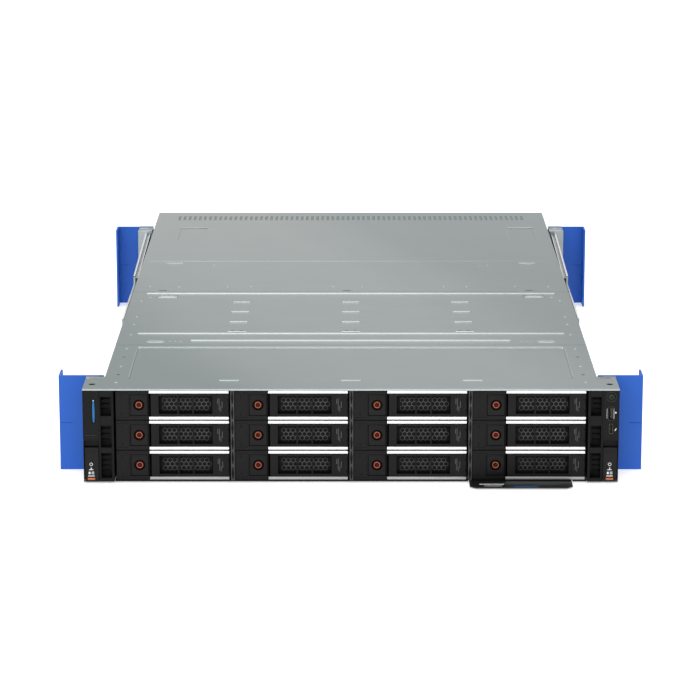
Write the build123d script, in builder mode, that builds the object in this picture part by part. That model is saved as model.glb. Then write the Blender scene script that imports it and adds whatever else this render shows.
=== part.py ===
from build123d import *
import os

os.makedirs("parts", exist_ok=True)

# A two-unit rack storage server (network attached storage) with twelve hot-swap drive bays in four
# columns and three rows. It hangs on telescopic slides between four short pieces of rack post.
# X runs across the rack, Y from the front to the back, Z up. The posts stand on Z = 0 and the origin
# is the bottom centre of the whole object. Inside this script a place in the chassis is given as
# x, a depth d behind the chassis front, and a height h above the underside of the chassis.

# ---------------------------------------------------------------- driving dimensions, in millimetres
rack_units = 2
unit_play = 2.1  # chassis lower than its rack units
rack_play = 1.0  # covers to the posts on each side
post_face_width = 41.5
post_leg_depth = 23.0
post_wall = 2.0
post_ear_gap = 7.5  # front post's face behind the ears
post_spacing = 700.0  # front face to front face, front post to rear post
post_hole = 9.5  # square mounting hole
post_hole_inset = 7.55  # hole column to the post's inner edge
post_hole_edge = 6.35  # outer holes to the edge of their rack unit
post_bolt_radius = 3.3
post_groove = 0.5  # scribed line between the two units, width and depth
post_groove_length = 12.0

chassis_depth = 837.0
sheet = 1.2  # chassis sheet
cover_sheet = 1.0
cover_flange = 10.0  # side flange of the covers
cover_gap = 0.6  # seam between two covers
ear_overlap = 16.0  # ear past the post's inner edge
ear_depth = 38.5
ear_face = 14.8  # width of the control strip on each ear
front_lip = 1.5  # folded front edge of the front cover

bay_columns = 4
bay_rows = 3
bay_floor_gap = 0.1  # underside of the lowest row to the chassis floor
divider = 1.0  # sheet between two columns
ledge_overlap = 1.0  # carriers slide on these ledges, which reach this far under a sled
ledge_thick = 0.8
ledge_height = 0.1  # underside of a ledge above the bay's floor line

sled_inset = 0.1  # sled inside each side of its face
sled_side = 0.55  # side wall of the sled
sled_side_height = 21.0
sled_floor = 0.8
carrier_front = 2.0  # carrier face behind the chassis front
carrier_face_depth = 12.0
carrier_gap_z = 0.3
sled_tail = 6.5  # sled past the drive's end
face_left_gap = 2.0  # carrier face to the divider on its left
face_right_gap = 1.0
trim_gap = 0.3  # divider's front trim to the faces beside it
trim_depth = 2.0
drive_width = 101.6
drive_length = 147.0
drive_thick = 26.1
drive_front_gap = 12.5  # face to drive
drive_rear_gap = 12.5  # drive end to backplane board
drive_side_gap = 0.05
drive_top_gap = 0.5

latch_block_width = 29.6  # part of the carrier face with the button
button_width = 15.6
button_edge = 4.4  # button's top and bottom to the row's lines
button_inset = 0.8  # button edge to the right side of the block
button_gap = 0.3
button_travel = 1.5
button_depth = 5.0
handle_gap = 0.5
handle_plate = 3.5
handle_rim = 6.0
knuckle_radius = 2.5
hinge_pin_radius = 0.8
pin_clearance = 0.05
window_offset = 8.6  # handle's left end to the window
window_rest = 15.9  # window to the right end of the face
window_edge = 5.6  # window's top and bottom to the row's lines
window_bar = 1.2
window_bar_step = 13.6  # between the window's two bars
strip_height = 2.8  # bright edge strips of the handle

slide_centre = 45.0  # height of the slides' middle
slide_half = 22.0  # outer member, half its height
slide_wall = 1.5
slide_gap = 0.4
slide_room = 9.2  # chassis side wall to the post's inner edge
outer_slide_inset = 5.0  # outer face of the fixed member to the post's inner edge
slide_play = 1.0  # middle slide to rack opening and to inner member
slide_setback = 6.0  # moving members behind the front post's face
middle_slide_length = 684.0
inner_slide_length = 760.0
bracket_width = 15.8
bracket_depth = 25.0
bracket_wall = 1.8
bracket_inset = 0.2  # bracket to the post's inner edge
bracket_box_low = 54.0  # underside of the bracket's box
bracket_arm_tops = (66.0, 76.5)  # front and rear arm
bracket_arm_height = 32.0
bracket_front_top = 80.0  # the front bracket stays below the post's top
bracket_arm_lengths = (30.0, 190.0)  # front and rear arm behind their box
bracket_lip_top = 67.5  # lower lip that carries the rear arm on
bracket_lip_length = 166.0
bracket_lip_height = 12.0
bracket_arm_gap = 1.0  # arm to slide, bridged by rivets
clamp_plate = 2.5  # plate on the other side of the post's face
clamp_gap = 0.3
peg_reach = 1.0  # pegs past the clamp plate
peg_play = 0.3
bracket_play = 0.3  # rear bracket and clamp plates below the post's top
arm_rivet_steps = (0.35, 0.6, 0.9)  # rivets, as parts of the arm's length
arm_rivet_radius = 2.5

front_cover_end = 169.2
middle_cover_end = 405.0
emboss = 1.0  # height of a bead, depth of a sunk panel
panel_inset_x = 22.0  # sunk panel to the cover's side
panel_front = 36.0
panel_rest = 9.2  # sunk panel to the front cover's end
panel_rise = 0.2  # sunk panel shallower than a bead is high
mark_width = 19.0  # short pressed tab
mark_depth = 3.0
mark_pitch_x = 110.5
front_mark_d = 31.0
louvre_rows = (138.2, 93.1, 49.3)  # rows to the middle cover's end
hook_slot_d = 51.8  # hook slots and the two front beads, from the front cover's end
bead_width = 4.0
long_bead_inset = 70.0  # bead's ends to the cover's side
long_bead_d = 19.5
rear_bead_inset = 14.0
rear_bead_rest = 7.8  # rear bead to the middle cover's end
step_bead_inset = 17.0
step_bead_d = 48.5
lock_inset = 37.0  # lock's middle to the cover's side
lock_rest = 24.6  # lock's middle to the middle cover's end
lock_width = 20.0
lock_length = 8.0
lock_travel = 4.0
lock_gap = 0.4
vent_slots = 68
vent_slot_width = 2.8
vent_slot_length = 24.0
vent_inset = 26.0  # outermost slots to the cover's side
vent_rest = 35.0  # row to the rear cover's end
cover_slot_d = 6.6  # small slots behind the middle cover
cover_slots_x = (-194.0, -4.1, 184.1)
cover_slot_size = (9.0, 2.6)
cover_rivet_d = 25.2  # rivet row behind the middle cover
cover_rivets_x = (-207.9, -178.0, -127.9, -103.6, -18.1, 11.6, 96.5, 120.3, 170.1, 204.7)
rear_mark_inset = 34.5  # pressed tab before the fold line, to the cover's side
rear_mark_rest = 10.5
fold_line_d = 154.0  # fold line behind the middle cover
fold_inset = 8.0
fold_height = 0.3
corner_x = (-178.5, 192.5)  # middles of the two sunk labels' recesses
corner_size = 30.0
corner_rest = 92.0  # recess to the rear cover's end
corner_sink = 0.4
corner_length = 74.0
ear_hole_inset = 7.5  # hole to the ear's outer edge
ear_hole_d = 17.5
ear_hole_radius = 3.0
rivet_inset = 11.6  # rivet column to the cover's side
rivet_radius = 1.5
rivet_rise = 0.5
rivet_rows = (24.0, 53.5, 84.6, 121.2, 154.1)  # rivets and holes in turn
middle_rivet_rows = (211.8, 256.0, 289.6, 361.9)
hook_hole = (3.6, 1.6)  # pairs of holes behind the first row of louvres
hook_half_pitch = 4.0
hook_lead = 6.0
finger_press = (9.0, 4.5)
finger_press_lead = 4.0  # finger presses before the long bead
lock_plate_margins = (5.0, 6.0, 4.0)  # lock plate past the thumb, at its sides, front and back
lock_thumb_rise = 0.6
lock_groove = 0.8

vent_column_inset = 1.2  # ear windows to the control strip
vent_column_rest = 2.2  # ear windows to the ear's inner edge
ear_inner_gap = 0.8  # ear's inner edge to the outer divider's middle
ear_inner_depth = 14.0
ear_windows = ((3.7, 27.3), (32.2, 52.8))
ear_top_window = (25.2, 7.3)  # bottom and top of the highest window below the top
ear_window_depth = 10.0
lever_height = 32.2  # top of the release lever
lever_width = 12.4
lever_thick = 7.2
lever_gap = 0.4
lever_pivot = 4.5  # pivot above the underside
lever_notch = 6.5  # finger notch above the lever
power_drop = 7.5  # button and ports below the top
power_radius = 3.6
power_travel = 1.5
power_length = 5.0
power_gap = 0.3
usb_drop = 22.8
usb_size = (4.6, 12.2)
usb_tongue = 1.9
micro_drop = 37.0
micro_size = (2.9, 8.6)
port_depth = 9.0
light_bar = (3.0, 21.8)
light_bar_drop = 21.1
light_bar_shift = 2.6  # light bar to the middle of the strip, outwards
light_bar_depth = 0.8
port_inset = 7.2  # middle of the control strip to the ear's outer edge

tag_inset = 61.0  # tag's middle to the right-hand outer divider
tag_width = 92.6
tag_length = 92.0
tag_thick = 0.9
tag_reach = 21.0  # how far the tag stands out of the front
tag_corner = 5.0
tag_gap = 0.3

board_thick = 2.0
backplane_gap = 2.0  # board to the outer dividers' middle
connector_size = (44.0, 11.5, 5.0)
fan_count = 3
fan_floor_gap = 0.4
fan_top_gap = 4.2  # housing to the covers
fan_depth = 38.0
fan_pitch = 136.0
fan_gap = 30.0  # backplane to the housings
fan_wall = 2.0  # housing outside the bore
rotor_hub = 17.0
tip_gap = 1.2
rotor_gap = 2.5  # rotor inside each end of the housing
motor_radius = 16.0
strut = 3.0
rotor_blades = 7
blade_wall = 1.8
blade_pitch = 38.0
shaft_radius = 1.5

board_side_gap = 9.6  # main board to the side walls
board_front_gap = 36.0  # fans to the main board
board_psu_gap = 31.5  # main board to the power supplies' front ends
tail_side_gap = 9.8  # board's tail to the power supplies
tail_rest = 11.0  # tail to the rear wall
standoff = 5.0
heatsink_size = (84.0, 104.0, 56.0)
heatsink_x = 96.0
heatsink_shift = 27.0  # heatsinks' front ends before the main board's middle
heatsink_fins = 13
heatsink_base = 7.0
memory_size = (5.0, 133.0, 31.0)
memory_pitch = 8.0
memory_inset = (33.0, 45.0)  # left and right bank to the board's sides
memory_middle = 14.0
memory_lead = 14.0  # modules' front ends before the heatsinks
memory_per_bank = 4
jack_size = (16.0, 15.0, 13.6)
jack_socket = (11.8, 12.0, 8.4)
jack_x = (-52.0, -32.0)

psu_width = 86.0
psu_height = 40.0
psu_length = 185.0
psu_gap = 0.4
psu_face = 1.5  # how far the supply's face stands out of the rear wall
psu_handle_reach = 22.0
psu_handle_bar = 4.0
psu_handle_height = 24.0
inlet_size = (27.0, 20.0)
inlet_depth = 14.0
inlet_offset = 20.0  # inlet's middle to the supply's middle

# ---------------------------------------------------------------- derived places
bay_floor = sheet + bay_floor_gap
face_gaps = divider + face_left_gap + face_right_gap
bay_pitch_x = drive_width + 2 * (drive_side_gap + sled_side + sled_inset) + face_gaps
bay_pitch_z = drive_thick + sled_floor + 2 * carrier_gap_z + drive_top_gap
half_bays = bay_columns * bay_pitch_x / 2
bay_top = bay_floor + bay_rows * bay_pitch_z
panel_depth = emboss - panel_rise
chassis_height = bay_top - carrier_gap_z + cover_sheet + panel_depth
post_height = chassis_height + unit_play
rack_unit = post_height / rack_units
base_h = unit_play / 2
tail_reach = psu_face + psu_handle_reach
front_y = -(chassis_depth + tail_reach - tag_reach) / 2
wall_inner = half_bays + divider / 2 + 0.1
wall_outer = wall_inner + sheet
post_inner = wall_outer + slide_room
post_outer = post_inner + post_face_width
post_setback = ear_depth + post_ear_gap
post_hole_x = post_inner + post_hole_inset
outer_slide_x = post_inner + outer_slide_inset
moving_slide_d = post_setback + slide_setback
bracket_inner_x = post_inner + bracket_inset
bracket_rear_top = post_height - base_h - bracket_play
half_width = post_inner - rack_play
flange_outer = half_width - cover_sheet - 0.4
cover_under = chassis_height - cover_sheet
flange_top = cover_under - 0.1
ear_outer = post_inner + ear_overlap
ear_inner_x = half_bays - ear_inner_gap
ear_top = chassis_height - front_lip
port_x = ear_outer - port_inset
base_front = carrier_front + carrier_face_depth + 2.0
face_width = bay_pitch_x - face_gaps
window_width = face_width - latch_block_width - handle_gap - window_offset - window_rest
window_height = bay_pitch_z - 2 * window_edge
button_height = bay_pitch_z - 2 * button_edge
drive_start = carrier_front + carrier_face_depth + drive_front_gap
carrier_end = drive_start + drive_length + sled_tail
backplane_d = drive_start + drive_length + drive_rear_gap
backplane_half = half_bays - backplane_gap
fan_size = cover_under - fan_top_gap - sheet - fan_floor_gap
fan_bore = fan_size / 2 - fan_wall
rotor_tip = fan_bore - tip_gap
fan_d = backplane_d + board_thick + fan_gap
panel_end = front_cover_end - panel_rest
lock_x = half_width - lock_inset
lock_d = middle_cover_end - lock_rest
rivet_x = half_width - rivet_inset
tag_centre = half_bays - tag_inset
psu_middle = wall_inner - 2 * psu_gap - psu_width / 2
board_half = wall_inner - board_side_gap
board_front = fan_d + fan_depth + board_front_gap
board_end = chassis_depth + psu_face - psu_length - board_psu_gap
heatsink_d = (board_front + board_end) / 2 - heatsink_shift


def block(x, d, h, mode=Mode.ADD):
    """A box between two x values, two depths and two heights, in the active part."""
    middle = ((x[0] + x[1]) / 2, front_y + (d[0] + d[1]) / 2, base_h + (h[0] + h[1]) / 2)
    with Locations(middle):
        Box(abs(x[1] - x[0]), d[1] - d[0], h[1] - h[0], mode=mode)


def across(d):
    """The XZ plane at depth d, with its normal pointing back."""
    return Plane((0, front_y + d, base_h), x_dir=(-1, 0, 0), z_dir=(0, 1, 0))


def level(h):
    """The horizontal plane at height h, with its origin on the chassis front."""
    return Plane((0, front_y, base_h + h))


def save(part, name):
    """Writes one named sub-part."""
    part.label = name
    export_step(part, f"parts/{name}.step")


def make_rack_posts():
    """Four short angle pieces of rack post with square holes, a bolt hole line and a unit line."""
    front_face = front_y + post_setback
    with BuildPart() as posts:
        for face_y, leg_way in ((front_face, 1), (front_face + post_spacing, -1)):
            wall_y = face_y + post_wall / 2
            leg_y = wall_y + leg_way * (post_leg_depth - post_wall) / 2
            with Locations((post_outer - post_face_width / 2, wall_y, post_height / 2)):
                Box(post_face_width, post_wall, post_height)
            with Locations((post_outer - post_wall / 2, leg_y, post_height / 2)):
                Box(post_wall, post_leg_depth, post_height)
            unit_middles = [(k + 0.5) * rack_unit for k in range(rack_units)]
            outer_hole = rack_unit / 2 - post_hole_edge
            hole_steps = (-outer_hole, 0.0, outer_hole)
            with Locations([(post_hole_x, wall_y, m + s) for m in unit_middles for s in hole_steps]):
                Box(post_hole, 2 * post_wall, post_hole, mode=Mode.SUBTRACT)
            bolt_y = face_y + post_wall / 2 + leg_way * post_leg_depth / 2
            with Locations([Location((post_outer, bolt_y, m), (0, 90, 0)) for m in unit_middles]):
                Cylinder(post_bolt_radius, 3 * post_wall, mode=Mode.SUBTRACT)
            groove_x = post_outer - post_groove_length / 2
            with Locations((groove_x, face_y, post_height / 2)):
                Box(post_groove_length, 2 * post_groove, post_groove, mode=Mode.SUBTRACT)
        mirror(about=Plane.YZ)
    save(posts.part, "rack_posts")


def channel(web_x, tip_x, half, wall, start, length):
    """A C-shaped slide member on the right side: web outside or inside, flanges towards tip_x."""
    web_in = web_x + (wall if tip_x > web_x else -wall)
    low, high = slide_centre - half, slide_centre + half
    block(sorted((web_x, web_in)), (start, start + length), (low, high))
    block(sorted((web_x, tip_x)), (start, start + length), (high - wall, high))
    block(sorted((web_x, tip_x)), (start, start + length), (low, low + wall))


def make_slides():
    """Fixed outer members with their post brackets, middle members and the members on the chassis."""
    start = post_setback + post_wall + bracket_depth
    length = post_spacing - post_wall - 2 * bracket_depth
    inner_x = wall_outer + 0.1
    middle_x = post_inner - slide_gap
    middle_half = slide_half - slide_wall - slide_gap
    inner_half = middle_half - slide_wall - slide_gap
    tip = inner_x + slide_wall + slide_play
    with BuildPart() as outer:
        channel(outer_slide_x, tip + slide_play, slide_half, slide_wall, start, length)
        mirror(about=Plane.YZ)
    with BuildPart() as brackets:
        rear_arm = bracket_arm_lengths[1]
        faces = (post_setback + post_wall, post_setback + post_spacing)
        tops = (bracket_front_top, bracket_rear_top)
        for k, way in enumerate((1, -1)):
            add_bracket(faces[k], way, tops[k], bracket_arm_lengths[k], bracket_arm_tops[k])
        lip_end = post_setback + post_spacing - bracket_depth - rear_arm
        lip_x = outer_slide_x + bracket_arm_gap
        lip = (lip_end - bracket_lip_length, lip_end + 1.0)
        lip_low = bracket_lip_top - bracket_lip_height
        block((lip_x, lip_x + bracket_wall), lip, (lip_low, bracket_lip_top))
        mirror(about=Plane.YZ)
    # the brackets are riveted to the outer members and share their node as separate solids
    save(Compound(children=[*outer.part.solids(), *brackets.part.solids()]), "outer_rails")
    with BuildPart() as middle:
        channel(middle_x, tip, middle_half, slide_wall, moving_slide_d, middle_slide_length)
        mirror(about=Plane.YZ)
    save(middle.part, "middle_rails")
    with BuildPart() as inner:
        reach = middle_x - slide_wall - slide_play
        channel(inner_x, reach, inner_half, slide_wall, moving_slide_d, inner_slide_length)
        mirror(about=Plane.YZ)
    save(inner.part, "inner_rails")


def add_bracket(face, way, top, arm_length, arm_top):
    """One end bracket: a bent box behind the post's face, a clamp plate, pegs and a riveted arm."""
    x0, x1 = bracket_inner_x, bracket_inner_x + bracket_width
    near, far = face, face + way * bracket_depth
    wall = way * bracket_wall
    block((x0, x1), sorted((near, near + wall)), (0, top))
    block((x0, x1), sorted((far - wall, far)), (bracket_box_low, top))
    block((x0, x1), sorted((near, far)), (top - bracket_wall, top))
    block((x1 - bracket_wall, x1), sorted((near, far)), (bracket_box_low, top))
    arm_x = outer_slide_x + bracket_arm_gap
    arm_low = arm_top - bracket_arm_height
    arm_end = far + way * arm_length
    block((arm_x, arm_x + bracket_wall), sorted((near, arm_end)), (arm_low, arm_top))
    for step in arm_rivet_steps:
        rivet_y = front_y + far + way * step * arm_length
        rivet = Location((arm_x, rivet_y, base_h + slide_centre + slide_half / 2), (0, 90, 0))
        with Locations(rivet):
            Cylinder(arm_rivet_radius, 2 * bracket_arm_gap)
    peg = post_hole / 2 - peg_play
    plate = near - way * (post_wall + clamp_gap)
    block((x0, x1), sorted((plate, plate - way * clamp_plate)), (0, bracket_rear_top))
    for middle in (post_hole_edge, post_height - post_hole_edge):
        h = middle - base_h
        end = plate - way * (clamp_plate + peg_reach)
        block((post_hole_x - peg, post_hole_x + peg), sorted((near, end)), (h - peg, h + peg))


def make_chassis_base():
    """The folded steel tub: floor, two stepped side walls and a rear wall with its cut-outs."""
    with BuildPart() as base:
        block((-wall_outer, wall_outer), (base_front, chassis_depth), (0, sheet))
        for side in (-1, 1):
            wall = sorted((side * wall_inner, side * wall_outer))
            block(wall, (base_front, chassis_depth), (0, flange_top))
            flange = sorted((side * wall_inner, side * flange_outer))
            block(flange, (ear_depth + 1, chassis_depth), (flange_top - sheet, flange_top))
        block((-wall_inner, wall_inner), (chassis_depth - sheet, chassis_depth), (0, flange_top))
        for side in (-1, 1):
            middle = side * psu_middle
            opening = psu_width / 2 + psu_gap
            block(
                (middle - opening, middle + opening),
                (chassis_depth - 2 * sheet, chassis_depth + 1),
                (sheet, sheet + psu_height + 2 * psu_gap),
                mode=Mode.SUBTRACT,
            )
            block(
                (middle - opening + 4, middle + opening - 4),
                (chassis_depth - 2 * sheet, chassis_depth + 1),
                (sheet + psu_height + 8, flange_top - 6),
                mode=Mode.SUBTRACT,
            )
        jack_floor = sheet + standoff + board_thick
        for x in jack_x:
            half = jack_size[0] / 2 + 0.3
            block(
                (x - half, x + half),
                (chassis_depth - 2 * sheet, chassis_depth + 1),
                (jack_floor - 0.3, jack_floor + jack_size[2] + 0.3),
                mode=Mode.SUBTRACT,
            )
        block(
            (tag_centre - tag_width / 2 - tag_gap, tag_centre + tag_width / 2 + tag_gap),
            (base_front - 1, tag_length + 2 * tag_gap),
            (-1, sheet + 1),
            mode=Mode.SUBTRACT,
        )
    save(base.part, "chassis_base")


def make_bay_dividers():
    """Five sheet dividers with the ledges that carry the drive sleds, and a trim on the inner three."""
    top = cover_under - emboss
    end = carrier_end
    left_reach = divider / 2 + face_right_gap + sled_inset + ledge_overlap
    right_reach = divider / 2 + face_left_gap + sled_inset + ledge_overlap
    with BuildPart() as dividers:
        for column in range(bay_columns + 1):
            x = -half_bays + column * bay_pitch_x
            inner = 0 < column < bay_columns
            front = carrier_front if inner else base_front
            block((x - divider / 2, x + divider / 2), (front, end), (sheet, top))
            for row in range(bay_rows):
                low = bay_floor + row * bay_pitch_z + ledge_height
                left = x - (left_reach if column > 0 else divider / 2)
                right = x + (right_reach if column < bay_columns else divider / 2)
                block((left, right), (base_front, end), (low, low + ledge_thick))
            if inner:
                trim = (
                    x - divider / 2 - face_right_gap + trim_gap,
                    x + divider / 2 + face_left_gap - trim_gap,
                )
                block(trim, (carrier_front, carrier_front + trim_depth), (sheet, top))
    save(dividers.part, "bay_dividers")


def oblong(x, d, length, width):
    """A rounded slot outline at x and d in the active sketch, long across the chassis."""
    with Locations((x, d)):
        SlotOverall(length, width)


def make_front_cover():
    """Front top sheet with ears, a folded front lip, side flanges and a sunk panel."""
    panel_half = half_width - panel_inset_x
    with BuildPart() as cover:
        block((-ear_outer, ear_outer), (0, ear_depth), (cover_under, chassis_height))
        block((-half_width, half_width), (0, front_cover_end), (cover_under, chassis_height))
        block((-ear_outer, ear_outer), (0, cover_sheet), (ear_top, chassis_height))
        for side in (-1, 1):
            flange = sorted((side * (half_width - cover_sheet), side * half_width))
            span = (ear_depth + 1, front_cover_end)
            block(flange, span, (chassis_height - cover_flange, chassis_height))
        sunk = (panel_front, panel_end)
        block((-panel_half, panel_half), sunk, (cover_under - panel_depth, chassis_height))
        with BuildSketch(level(chassis_height)):
            with Locations((0, (panel_front + panel_end) / 2)):
                RectangleRounded(2 * panel_half, panel_end - panel_front, 3)
        extrude(amount=-panel_depth, taper=45, mode=Mode.SUBTRACT)
        with BuildSketch(level(chassis_height)):
            for x in (-mark_pitch_x, 0, mark_pitch_x):
                oblong(x, front_mark_d, mark_width, mark_depth)
        extrude(amount=emboss / 2, taper=30)
        with BuildSketch(level(chassis_height)):
            hole_x = ear_outer - ear_hole_inset
            with Locations([(s * hole_x, ear_hole_d) for s in (-1, 1)]):
                Circle(ear_hole_radius)
        extrude(amount=-2 * cover_sheet, mode=Mode.SUBTRACT)
        with BuildSketch(level(chassis_height)):
            with Locations([(s * rivet_x, d) for s in (-1, 1) for d in rivet_rows[::2]]):
                Circle(rivet_radius)
        extrude(amount=rivet_rise, taper=30)
        with BuildSketch(level(chassis_height)):
            with Locations([(s * rivet_x, d) for s in (-1, 1) for d in rivet_rows[1::2]]):
                Circle(rivet_radius)
        extrude(amount=-2 * cover_sheet, mode=Mode.SUBTRACT)
    save(cover.part, "front_cover")


def make_middle_cover():
    """Fixed cover over the fans, with stiffening beads, pressed louvres and the cover locks' slots."""
    start = front_cover_end + cover_gap
    with BuildPart() as cover:
        block((-half_width, half_width), (start, middle_cover_end), (cover_under, chassis_height))
        for side in (-1, 1):
            flange = sorted((side * (half_width - cover_sheet), side * half_width))
            block(flange, (start, middle_cover_end), (chassis_height - cover_flange, chassis_height))
        with BuildSketch(level(chassis_height)):
            beads = (
                (front_cover_end + long_bead_d, long_bead_inset),
                (front_cover_end + step_bead_d, step_bead_inset),
                (middle_cover_end - rear_bead_rest, rear_bead_inset),
            )
            for d, inset in beads:
                oblong(0, d, 2 * (half_width - inset), bead_width)
        extrude(amount=emboss, taper=30)
        with BuildSketch(level(chassis_height)):
            for rest in louvre_rows:
                for x in (-mark_pitch_x, 0, mark_pitch_x):
                    oblong(x, middle_cover_end - rest, mark_width, mark_depth)
        extrude(amount=emboss, taper=30)
        with BuildSketch(level(chassis_height)):
            steps = (-hook_half_pitch, hook_half_pitch)
            hook_x = [x + s for x in (-mark_pitch_x, 0, mark_pitch_x) for s in steps]
            hook_d = front_cover_end + hook_slot_d + mark_depth + hook_lead
            with Locations([(x, hook_d) for x in hook_x]):
                SlotOverall(*hook_hole)
            for side in (-1, 1):
                with Locations((side * lock_x, lock_d + lock_travel / 2)):
                    Rectangle(lock_width + 2 * lock_gap, lock_length + lock_travel + 2 * lock_gap)
        extrude(amount=-2 * cover_sheet, mode=Mode.SUBTRACT)
        with BuildSketch(level(chassis_height)):
            with Locations([(s * rivet_x, d) for s in (-1, 1) for d in middle_rivet_rows]):
                Circle(rivet_radius)
            press_d = front_cover_end + long_bead_d - finger_press_lead
            with Locations([(s * lock_x, press_d) for s in (-1, 1)]):
                Ellipse(*finger_press)
        extrude(amount=rivet_rise, taper=30)
    save(cover.part, "middle_cover")


def make_cover_locks():
    """Two thumb sliders under the middle cover that lock the rear cover."""
    with BuildPart() as locks:
        for side in (-1, 1):
            x = side * lock_x
            aside, before, behind = lock_plate_margins
            plate = (cover_under - 0.2 - cover_sheet, cover_under - 0.2)
            block(
                (x - lock_width / 2 - aside, x + lock_width / 2 + aside),
                (lock_d - lock_length / 2 - before, lock_d + lock_length / 2 + behind),
                plate,
            )
            thumb = (x - lock_width / 2, x + lock_width / 2)
            span = (lock_d - lock_length / 2, lock_d + lock_length / 2)
            block(thumb, span, (plate[0], chassis_height + lock_thumb_rise))
            for k in (-1, 1):
                groove = lock_d + k * lock_length / 4
                block(
                    (x - lock_width / 2 + 3, x + lock_width / 2 - 3),
                    (groove - lock_groove / 2, groove + lock_groove / 2),
                    (chassis_height, chassis_height + 1),
                    mode=Mode.SUBTRACT,
                )
    save(locks.part, "cover_locks")


def make_rear_cover():
    """Lift-off cover over the main board, with a row of vent slots at its back edge."""
    start = middle_cover_end + cover_gap
    with BuildPart() as cover:
        block((-half_width, half_width), (start, chassis_depth), (cover_under, chassis_height))
        for side in (-1, 1):
            flange = sorted((side * (half_width - cover_sheet), side * half_width))
            block(flange, (start, chassis_depth), (chassis_height - cover_flange, chassis_height))
        vent_half = half_width - vent_inset
        pitch = 2 * vent_half / (vent_slots - 1)
        vent_d = chassis_depth - vent_rest
        with BuildSketch(level(chassis_height)):
            with Locations([(-vent_half + k * pitch, vent_d) for k in range(vent_slots)]):
                Rectangle(vent_slot_width, vent_slot_length)
            with Locations([(x, middle_cover_end + cover_slot_d) for x in cover_slots_x]):
                SlotOverall(*cover_slot_size)
        extrude(amount=-2 * cover_sheet, mode=Mode.SUBTRACT)
        with BuildSketch(level(chassis_height)):
            with Locations((0, middle_cover_end + fold_line_d)):
                Rectangle(2 * (half_width - fold_inset), 1.0)
        extrude(amount=fold_height)
        with BuildSketch(level(chassis_height)):
            corner_d = chassis_depth - corner_rest - corner_length / 2
            with Locations([(x, corner_d) for x in corner_x]):
                Rectangle(corner_size, corner_length)
        extrude(amount=-corner_sink, mode=Mode.SUBTRACT)
        with BuildSketch(level(chassis_height)):
            for side in (-1, 1):
                mark_d = middle_cover_end + fold_line_d - rear_mark_rest
                mark_x = side * (half_width - rear_mark_inset)
                oblong(mark_x, mark_d, mark_width, mark_depth)
            with Locations([(x, middle_cover_end + cover_rivet_d) for x in cover_rivets_x]):
                Circle(rivet_radius)
        extrude(amount=rivet_rise, taper=30)
    save(cover.part, "rear_cover")


def ear_shell(side):
    """Adds one moulded front ear: control strip, vent windows, lever pocket and finger notch."""
    strip_inner = ear_outer - ear_face
    block(sorted((side * strip_inner, side * ear_outer)), (0, ear_depth), (0.4, ear_top - 0.1))
    inner = sorted((side * ear_inner_x, side * (strip_inner + 1)))
    block(inner, (0, ear_inner_depth), (0.4, ear_top - 0.1))
    vent_x = strip_inner - vent_column_inset
    below, above = ear_top_window
    for low, high in (*ear_windows, (chassis_height - below, chassis_height - above)):
        block(
            sorted((side * (ear_inner_x + vent_column_rest), side * vent_x)),
            (-1, ear_window_depth),
            (low, high),
            mode=Mode.SUBTRACT,
        )
    middle = side * (ear_outer - ear_face / 2)
    pocket = lever_width / 2 + lever_gap
    block(
        (middle - pocket, middle + pocket),
        (-1, lever_thick + 1.4),
        (-1, lever_height + lever_gap),
        mode=Mode.SUBTRACT,
    )
    block(
        (middle - pocket, middle + pocket),
        (-1, 4.0),
        (lever_height, lever_height + lever_notch),
        mode=Mode.SUBTRACT,
    )


def lever_pin(side):
    """Adds the pin of one release lever, between the walls of its pocket."""
    middle = side * (ear_outer - ear_face / 2)
    with Locations(Location((middle, front_y + lever_pivot, base_h + lever_pivot), (0, 90, 0))):
        Cylinder(1.0, lever_width + 2 * lever_gap)


def make_control_panels():
    """Left ear with the status light's slot, right ear with power button bore and service ports."""
    with BuildPart() as left:
        ear_shell(-1)
        half, tall = light_bar[0] / 2, light_bar[1] / 2
        bar_x = -port_x + light_bar_shift
        bar_h = chassis_height - light_bar_drop
        block(
            (bar_x - half, bar_x + half),
            (-1, light_bar_depth),
            (bar_h - tall, bar_h + tall),
            mode=Mode.SUBTRACT,
        )
        lever_pin(-1)
    save(left.part, "control_panel_left")
    power_height = chassis_height - power_drop
    usb_height = chassis_height - usb_drop
    micro_height = chassis_height - micro_drop
    with BuildPart() as right:
        ear_shell(1)
        with BuildSketch(across(0)):
            with Locations((-port_x, power_height)):
                Circle(power_radius + power_gap)
        extrude(amount=power_length + power_travel, mode=Mode.SUBTRACT)
        for middle, size in ((usb_height, usb_size), (micro_height, micro_size)):
            half, tall = size[0] / 2, size[1] / 2
            block(
                (port_x - half, port_x + half),
                (-1, port_depth),
                (middle - tall, middle + tall),
                mode=Mode.SUBTRACT,
            )
        tongue = usb_tongue / 2
        block(
            (port_x + 0.6 - tongue, port_x + 0.6 + tongue),
            (1.2, port_depth + 1),
            (usb_height - usb_size[1] / 2 + 0.8, usb_height + usb_size[1] / 2 - 0.8),
        )
        lever_pin(1)
    save(right.part, "control_panel_right")
    with BuildPart() as power:
        with BuildSketch(across(-power_gap)):
            with Locations((-port_x, power_height)):
                Circle(power_radius)
        extrude(amount=power_length)
        fillet(power.edges().group_by(Axis.Y)[0], 0.4)
    save(power.part, "power_button")


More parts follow.
